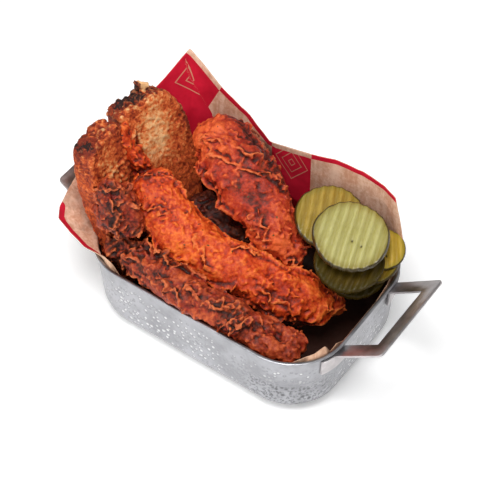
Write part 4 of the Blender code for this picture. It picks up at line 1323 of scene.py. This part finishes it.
def paper_materials(settings):
    """The printed inside, checked in crimson and kraft with a border, with grease stains and painted shade
    low in the basket, and the plain outside.
    """
    made, graph, shader, place = new_shader("liner_printed")
    across, beside, below = attributes(graph, "across", "beside", "below")
    border, grease, bare = attributes(graph, "border", "grease", "bare")
    fibre = graph.noise(place, 420.0, 5.0, 0.7, 0.6)
    cloud = graph.noise(place, 70.0, 3.0, 0.6)
    square = settings.square_size * 1000.0
    column = graph.math("FLOOR", across / square)
    odd = graph.math("PINGPONG", column, 1.0)
    in_border = graph.math("LESS_THAN", border, settings.border_width * 1000.0)
    red_share = abs(odd - in_border)
    streak = graph.noise(graph.vector("MULTIPLY", place, (1.0, 1.0, 0.16)), 240.0, 3.0, 0.6, 0.5)
    fibre = fibre * 0.5 + streak * 0.5
    kraft = graph.mix(graph.span(fibre, 0.36, 0.64), srgb((206, 150, 120)), srgb((236, 196, 170)))
    kraft = graph.mix(bare, kraft, srgb((240, 230, 216)))
    red = graph.mix(graph.span(cloud, 0.3, 0.7), srgb((190, 14, 42)), srgb((212, 26, 54)))
    diamond = abs(beside) + abs(below) * 0.8
    part = graph.math("FRACT", diamond / 4.5)
    line = graph.math("LESS_THAN", abs(part - 0.5), 0.075)
    line = line * graph.math("LESS_THAN", diamond, 15.0)
    line = line * (1.0 - in_border)
    red = graph.mix(line * 0.85, red, srgb((206, 150, 120)))
    colour = graph.mix(red_share, kraft, red)
    oily = graph.span(grease + (cloud - 0.5) * 0.8, 0.35, 0.75)
    colour = graph.mix(oily * 0.8, colour, srgb((96, 40, 20)), "MULTIPLY")
    # Near black where the painted shade is deepest, low in the basket.
    colour = graph.mix(graph.span(grease, 1.0, 1.5) * 0.9, colour, srgb((26, 8, 6)))
    wire(
        graph, shader, Base_Color=colour, Roughness=graph.span(oily, 0.0, 1.0, 0.78, 0.45),
        Specular_IOR_Level=0.18,
    )
    bump(graph, shader, fibre, 0.0003, 0.4)

    back, graph, shader, place = new_shader("liner_plain")
    fibre = graph.noise(graph.vector("MULTIPLY", place, (1.0, 1.0, 0.35)), 260.0, 4.0, 0.65, 0.8)
    colour = graph.mix(graph.span(fibre, 0.3, 0.7), srgb((186, 142, 114)), srgb((214, 176, 148)))
    wire(graph, shader, Base_Color=colour, Roughness=0.8, Specular_IOR_Level=0.25)
    bump(graph, shader, fibre, 0.0003, 0.4)
    return made, back


def distance_to_line(points, line):
    """Shortest distance from each point to a polyline, block by block."""
    best = np.full(len(points), 1e9)
    for a, b in zip(line, line[1:]):
        run = b - a
        share = clamp01(((points - a) @ run) / max(run @ run, 1e-12))
        best = np.minimum(best, np.linalg.norm(points - a - share[:, None] * run, axis=1))
    return best


def make_liner(settings):
    count = LINER_COLUMNS
    core, out = rim_columns(count)
    inset = PAN_WALL + GAP
    shares = (0.1, 0.25, 0.4, 0.55, 0.7, 0.85)
    lower = bowl_rings(core, out, inset, inset, PAPER_LOW_ROW, 16, 8, shares)
    rim = wall_ring(core, out, PAPER_RIM, inset)
    hidden = wall_ring(core, out, PAPER_HIDDEN_TOP, inset)
    keys = sorted((loop_angle(*anchor), Vector(top) * MM) for anchor, top in PAPER_EDGE)
    tops = [paper_top(loop_angle(*point[:2]), Vector(low), keys) for point, low in zip(rim, hidden)]
    tops = np.array([tuple(top) for top in tops])
    for i in range(count):
        if tops[i, 2] < PAPER_RIM:
            limit = wall_ring(core[i:i + 1], out[i:i + 1], tops[i, 2], inset)[0]
            if np.linalg.norm(tops[i, :2] - core[i]) > np.linalg.norm(limit[:2] - core[i]):
                tops[i, :2] = limit[:2]
    high = tops[:, 2] > PAPER_RIM + 0.0006
    base = np.where(high[:, None], rim, lower[-1] * 0.4 + tops * 0.6)
    rings = list(lower)
    for share in (0.5, 1.0):
        rings.append(lower[-1] * (1 - share) + base * share)
    for row in range(1, LOOSE_ROWS + 1):
        rings.append(base + (tops - base) * (row / LOOSE_ROWS))
    mesh = rings_to_mesh("liner_paper", rings, True, False)
    points = points_of(mesh)
    for label, values in paper_values(points, keys, len(lower) * count).items():
        set_values(mesh, label, values)
    item = link_object("liner_paper", mesh)
    printed, back = paper_materials(settings)
    add_nodes(
        item, paper_tree(), Crease_Size=settings.crease_size, Crease_Depth=settings.crease_depth, Seed=5,
        Material=back,
    )
    plain(item)
    normals = [p.normal.z for p in item.data.polygons[:40]]
    if sum(normals) > 0:
        item.data.flip_normals()
    item.data.materials.clear()
    item.data.materials.append(back)
    item.data.materials.append(printed)
    sheet = item.modifiers.new("thickness", "SOLIDIFY")
    sheet.thickness = PAPER_THICKNESS
    sheet.offset = -1.0
    sheet.material_offset = 1
    plain(item)
    item.data.shade_smooth()
    finish_piece(item, "liner", "liner")
    return item


def paper_values(points, keys, first_loose):
    """Where each point lies on the printed sheet, in mm, how greasy it is and how much painted shade darkens
    it low in the basket, and how loose the paper is there.
    """
    mm = points / MM
    x, y, z = mm[:, 0], mm[:, 1], mm[:, 2]
    edge = np.array([tuple(top / MM) for _, top in keys])
    back_run = [p for p in edge if p[1] > 48 and p[2] > 60]
    right_line = np.array([p for p in back_run if -20 < p[0] < 67.5 and p[2] > 78])
    left_line = np.array([p for p in back_run if -83 < p[0] < -23])
    flap_line = np.array([p for p in edge if p[1] < -45 and p[0] < -54 and p[0] > -99.5])
    border = np.full(len(points), 99.0)
    for line in (right_line, left_line, flap_line):
        order = line[np.argsort(line[:, 0])]
        border = np.minimum(border, distance_to_line(mm, order))
    across_left = (x + 59.0) * 0.919 - (z - 100.0) * 0.395
    across = np.where(x > -21.3, np.minimum(x - 6.4, 59.5), across_left)
    end = (x < -60.0) & (y < 56.0)
    from_corner = 60.0 - y
    across = np.where(
        end, np.where(from_corner < 34, -28.0 - 0.9 * from_corner, -60.5 - 0.6 * (from_corner - 34)),
        across,
    )
    across = np.where((x > 60.0) & (y < 46.0), 30.0, across)
    across = np.where((y < -46.0) & (x > -60), x + 60.0, across)
    right = x > -21.3
    beside = np.where(right, x + 7.0, across + 27.0)
    below = np.where(right, z - 70.0, z - 97.0)
    stain = np.exp(-(((x + 30.0) / 13.0) ** 2 + ((z - 66.0) / 11.0) ** 2)) * (y > 40)
    corner = np.exp(-(((x - 71.0) / 9.0) ** 2 + ((z - 62.0) / 12.0) ** 2)) * (y > 30) * 0.6
    # Painted shade: the paper darkens towards the bottom of the basket.
    deep = clamp01((46.0 - z) / 14.0) * 1.5
    flap = 0.45 * (x < -56.0) * (y < -30.0)
    grease = np.maximum(np.maximum(np.maximum(stain, corner), deep), flap)
    bare = clamp01(1.4 - ((x - 68.0) / 12.0) ** 2) * (y < -36.0) * (z > 44.0)
    loose = clamp01((z - 50.0) / 8.0)
    loose[:first_loose] = 0.0
    return {
        "across": across, "beside": beside, "below": below, "border": border, "grease": grease * (1.0 - bare),
        "bare": bare, "loose": loose,
    }


# Seasoning.


def scatter_tree():
    """Scatter small flat flakes over a surface and keep only the flakes."""
    graph, given = new_tree("Seasoning", "Density", "Smallest", "Largest")
    values = {"Min": given["Smallest"], "Max": given["Largest"], "Seed": given["Seed"]}
    size = graph.out("FunctionNodeRandomValue", values, None, data_type="FLOAT")
    shapes = ((0.5, 0.35, 0.2), (1.6, 1.0, 0.5))
    flakes = scattered(graph, given, given["Geometry"], given["Density"], 1, shapes, size, 0.3)
    return close_tree(graph, given, flakes)


def seasoning_material(name, colour):
    made, graph, shader, place = new_shader(name)
    mottle = graph.noise(place, 900.0, 3.0, 0.6)
    light = srgb([min(255, part * 1.7 + 8) for part in colour])
    wire(
        graph, shader, Base_Color=graph.mix(graph.span(mottle, 0.35, 0.7), srgb(colour), light),
        Roughness=0.6,
    )
    bump(graph, shader, mottle, 0.0002, 0.6)
    return made


def make_seasoning(name, sources, density, sizes, colour, seed):
    bm = bmesh.new()
    for source in sources:
        bm.from_mesh(bpy.data.objects[source].data)
    mesh = bpy.data.meshes.new(name)
    bm.to_mesh(mesh)
    bm.free()
    item = link_object(name, mesh)
    add_nodes(
        item, scatter_tree(), Density=density, Smallest=sizes[0], Largest=sizes[1], Seed=seed,
        Material=seasoning_material(name, colour),
    )
    plain(item)
    finish_piece(item, "tender_1")
    return item


# Settings.


def length(label, about, default):
    return bpy.props.FloatProperty(name=label, description=about, default=default, unit="LENGTH", precision=5)


def number(label, about, default):
    return bpy.props.FloatProperty(name=label, description=about, default=default, subtype="FACTOR")


class PanSettings(bpy.types.PropertyGroup):
    mark_size: length("Hammer mark size", "Distance between the middles of two hammer marks", 0.0030)
    mark_depth: length("Hammer mark depth", "Depth of the deepest hammer mark", 0.00055)
    smooth_band_from: length("Smooth band from", "Height above which the wall is smooth", 0.0425)


class PaperSettings(bpy.types.PropertyGroup):
    square_size: length("Square size", "Side of one printed square", 0.060)
    border_width: length("Border width", "Width of the printed border along the sheet's edge", 0.0034)
    crease_size: length("Crease size", "Distance between creases", 0.024)
    crease_depth: length("Crease depth", "Height of a crease", 0.0009)


class CrustSettings(bpy.types.PropertyGroup):
    mesh_size: length("Mesh size", "Size of the faces of the fused crust", 0.00054)
    flake_size: length("Flake size", "Half length of a common flake of crust", 0.0021)
    flake_share: number("Flake share", "How many of the usual flakes are made", 1.0)
    fold_strength: number("Fold strength", "How deep the folds are, against the usual depth", 1.0)


class StageSettings(bpy.types.PropertyGroup):
    floor_colour: bpy.props.FloatVectorProperty(
        name="Floor colour", description="Colour of the floor", default=(0.96, 0.96, 0.96), size=3,
        subtype="COLOR",
    )
    key_power: bpy.props.FloatProperty(
        name="Key light power", description="Power of the main light", default=6.2, unit="POWER"
    )
    fill_power: bpy.props.FloatProperty(
        name="Fill light power", description="Power of the front light", default=2.0, unit="POWER"
    )


class BASKET_OT_pan(bpy.types.Operator):
    """Make the hammered pan"""

    bl_idname = "basket.pan"
    bl_label = "Make Pan"

    def execute(self, context):
        make_pan(context.scene.basket_pan)
        return {"FINISHED"}


class BASKET_OT_handles(bpy.types.Operator):
    """Make the two strip handles"""

    bl_idname = "basket.handles"
    bl_label = "Make Handles"

    def execute(self, context):
        for node in ("handle_left", "handle_right"):
            make_handle(node)
        return {"FINISHED"}


class BASKET_OT_liner(bpy.types.Operator):
    """Make the checked paper liner"""

    bl_idname = "basket.liner"
    bl_label = "Make Liner"

    def execute(self, context):
        make_liner(context.scene.basket_paper)
        return {"FINISHED"}


class BASKET_OT_toasts(bpy.types.Operator):
    """Make the two slices of toast"""

    bl_idname = "basket.toasts"
    bl_label = "Make Toasts"

    def execute(self, context):
        tree = toast_tree()
        for index, node in enumerate(TOASTS):
            make_toast(node, tree, index + 1)
        return {"FINISHED"}


class BASKET_OT_tenders(bpy.types.Operator):
    """Make the fried tenders"""

    bl_idname = "basket.tenders"
    bl_label = "Make Tenders"

    def execute(self, context):
        folds = fold_tree()
        crumbs = crumb_tree()
        for index, node in enumerate(CRUSTS):
            make_tender(node, context.scene.basket_crust, folds, crumbs, index + 1)
        return {"FINISHED"}


class BASKET_OT_pickles(bpy.types.Operator):
    """Make the pickle chips"""

    bl_idname = "basket.pickles"
    bl_label = "Make Pickles"

    def execute(self, context):
        for index, node in enumerate(PICKLES):
            make_pickle(node, index)
        return {"FINISHED"}


class BASKET_OT_seasoning(bpy.types.Operator):
    """Scatter the pepper and herbs"""

    bl_idname = "basket.seasoning"
    bl_label = "Scatter Seasoning"

    def execute(self, context):
        sources = ("tender_1_crust", "tender_3_crust", "tender_2_crust")
        make_seasoning("pepper_grains", sources, 9000.0, (0.00025, 0.0006), (38, 14, 12), 4)
        make_seasoning("herb_flakes", sources[:2], 900.0, (0.0004, 0.0009), (52, 44, 14), 9)
        return {"FINISHED"}


class BASKET_OT_stage(bpy.types.Operator):
    """Set the floor, the lights and the camera"""

    bl_idname = "basket.stage"
    bl_label = "Set Stage"

    def execute(self, context):
        set_stage(context.scene.basket_stage)
        return {"FINISHED"}


class BASKET_PT_panel(bpy.types.Panel):
    """Sidebar list of the basket's settings and steps"""

    bl_idname = "BASKET_PT_panel"
    bl_label = "Basket"
    bl_space_type = "VIEW_3D"
    bl_region_type = "UI"
    bl_category = "Basket"

    def draw(self, context):
        for group in SETTING_GROUPS:
            settings = getattr(context.scene, group)
            box = self.layout.box()
            for label in settings.__annotations__:
                box.prop(settings, label)
        for step in STEPS:
            self.layout.operator(step.bl_idname)


STEPS = (
    BASKET_OT_stage, BASKET_OT_pan, BASKET_OT_handles, BASKET_OT_liner, BASKET_OT_toasts, BASKET_OT_tenders,
    BASKET_OT_pickles, BASKET_OT_seasoning,
)
SETTING_GROUPS = {
    "basket_pan": PanSettings,
    "basket_paper": PaperSettings,
    "basket_crust": CrustSettings,
    "basket_stage": StageSettings,
}


def register():
    for group, kind in SETTING_GROUPS.items():
        bpy.utils.register_class(kind)
        setattr(bpy.types.Scene, group, bpy.props.PointerProperty(type=kind))
    for kind in (*STEPS, BASKET_PT_panel):
        bpy.utils.register_class(kind)


def unregister():
    for kind in reversed((*STEPS, BASKET_PT_panel)):
        bpy.utils.unregister_class(kind)
    for group, kind in SETTING_GROUPS.items():
        delattr(bpy.types.Scene, group)
        bpy.utils.unregister_class(kind)


# Stage.

CAMERA_PLACE = (0.34664, -0.48536, 0.75025)
CAMERA_RIGHT = (0.81614, 0.57786, 0.0)
CAMERA_UP = (-0.44006, 0.62152, 0.64812)
CAMERA_BACK = (0.37452, -0.52896, 0.76154)
CAMERA_LENS = 115.2
SENSOR = 36.0


def area_light(name, place, target, size, power):
    data = bpy.data.lights.new(name, "AREA")
    data.shape = "DISK"
    data.size = size
    data.energy = power
    item = bpy.data.objects.new(name, data)
    bpy.context.scene.collection.objects.link(item)
    item.location = place
    item.rotation_mode = "QUATERNION"
    item.rotation_quaternion = (Vector(place) - Vector(target)).to_track_quat("Z", "Y")
    return item


def set_stage(settings):
    half = 1.6
    mesh = mesh_from(
        "floor", [(-half, -half, 0), (half, -half, 0), (half, half, 0), (-half, half, 0)], [(0, 1, 2, 3)],
        False,
    )
    floor = link_object("floor", mesh)
    made, graph, shader, place = new_shader("floor")
    speckle = graph.noise(place, 40.0, 3.0)
    pale = (*settings.floor_colour, 1.0)
    soft = tuple(part * 0.985 for part in settings.floor_colour) + (1.0,)
    colour = graph.mix(speckle, pale, soft)
    wire(graph, shader, Base_Color=colour, Roughness=0.9, Emission_Color=colour, Emission_Strength=0.22)
    mesh.materials.append(made)
    floor.location.z = -0.0002
    middle = (0.0, 0.0, 0.05)
    area_light("key", (0.08, -0.24, 0.90), middle, 0.46, settings.key_power)
    area_light("fill", (0.75, -0.75, 0.60), middle, 0.9, settings.fill_power)
    area_light("side", (-0.55, -0.75, 0.45), middle, 0.6, settings.fill_power)
    world = bpy.data.worlds.new("studio")
    world.use_nodes = True
    back = world.node_tree.nodes["Background"]
    sky = Graph(world.node_tree)
    way = sky.out("ShaderNodeTexCoord", key="Generated")
    height = sky.out("ShaderNodeSeparateXYZ", {0: way}, key=2)
    back.inputs["Color"].default_value = (1.0, 1.0, 1.0, 1.0)
    sky.feed(back.inputs["Strength"], sky.span(height, -0.1, 0.8, 0.14, 0.42))
    bpy.context.scene.world = world
    bpy.context.scene.view_settings.view_transform = "Standard"
    data = bpy.data.cameras.new("camera")
    data.lens = CAMERA_LENS
    data.sensor_width = SENSOR
    data.clip_start = 0.01
    camera = bpy.data.objects.new("camera", data)
    bpy.context.scene.collection.objects.link(camera)
    turn = Matrix((CAMERA_RIGHT, CAMERA_UP, CAMERA_BACK)).transposed()
    camera.matrix_world = Matrix.Translation(CAMERA_PLACE) @ turn.to_4x4()
    bpy.context.scene.camera = camera


def main():
    register()
    for step in STEPS:
        category, name = step.bl_idname.split(".")
        getattr(getattr(bpy.ops, category), name)()


if __name__ == "__main__":
    main()
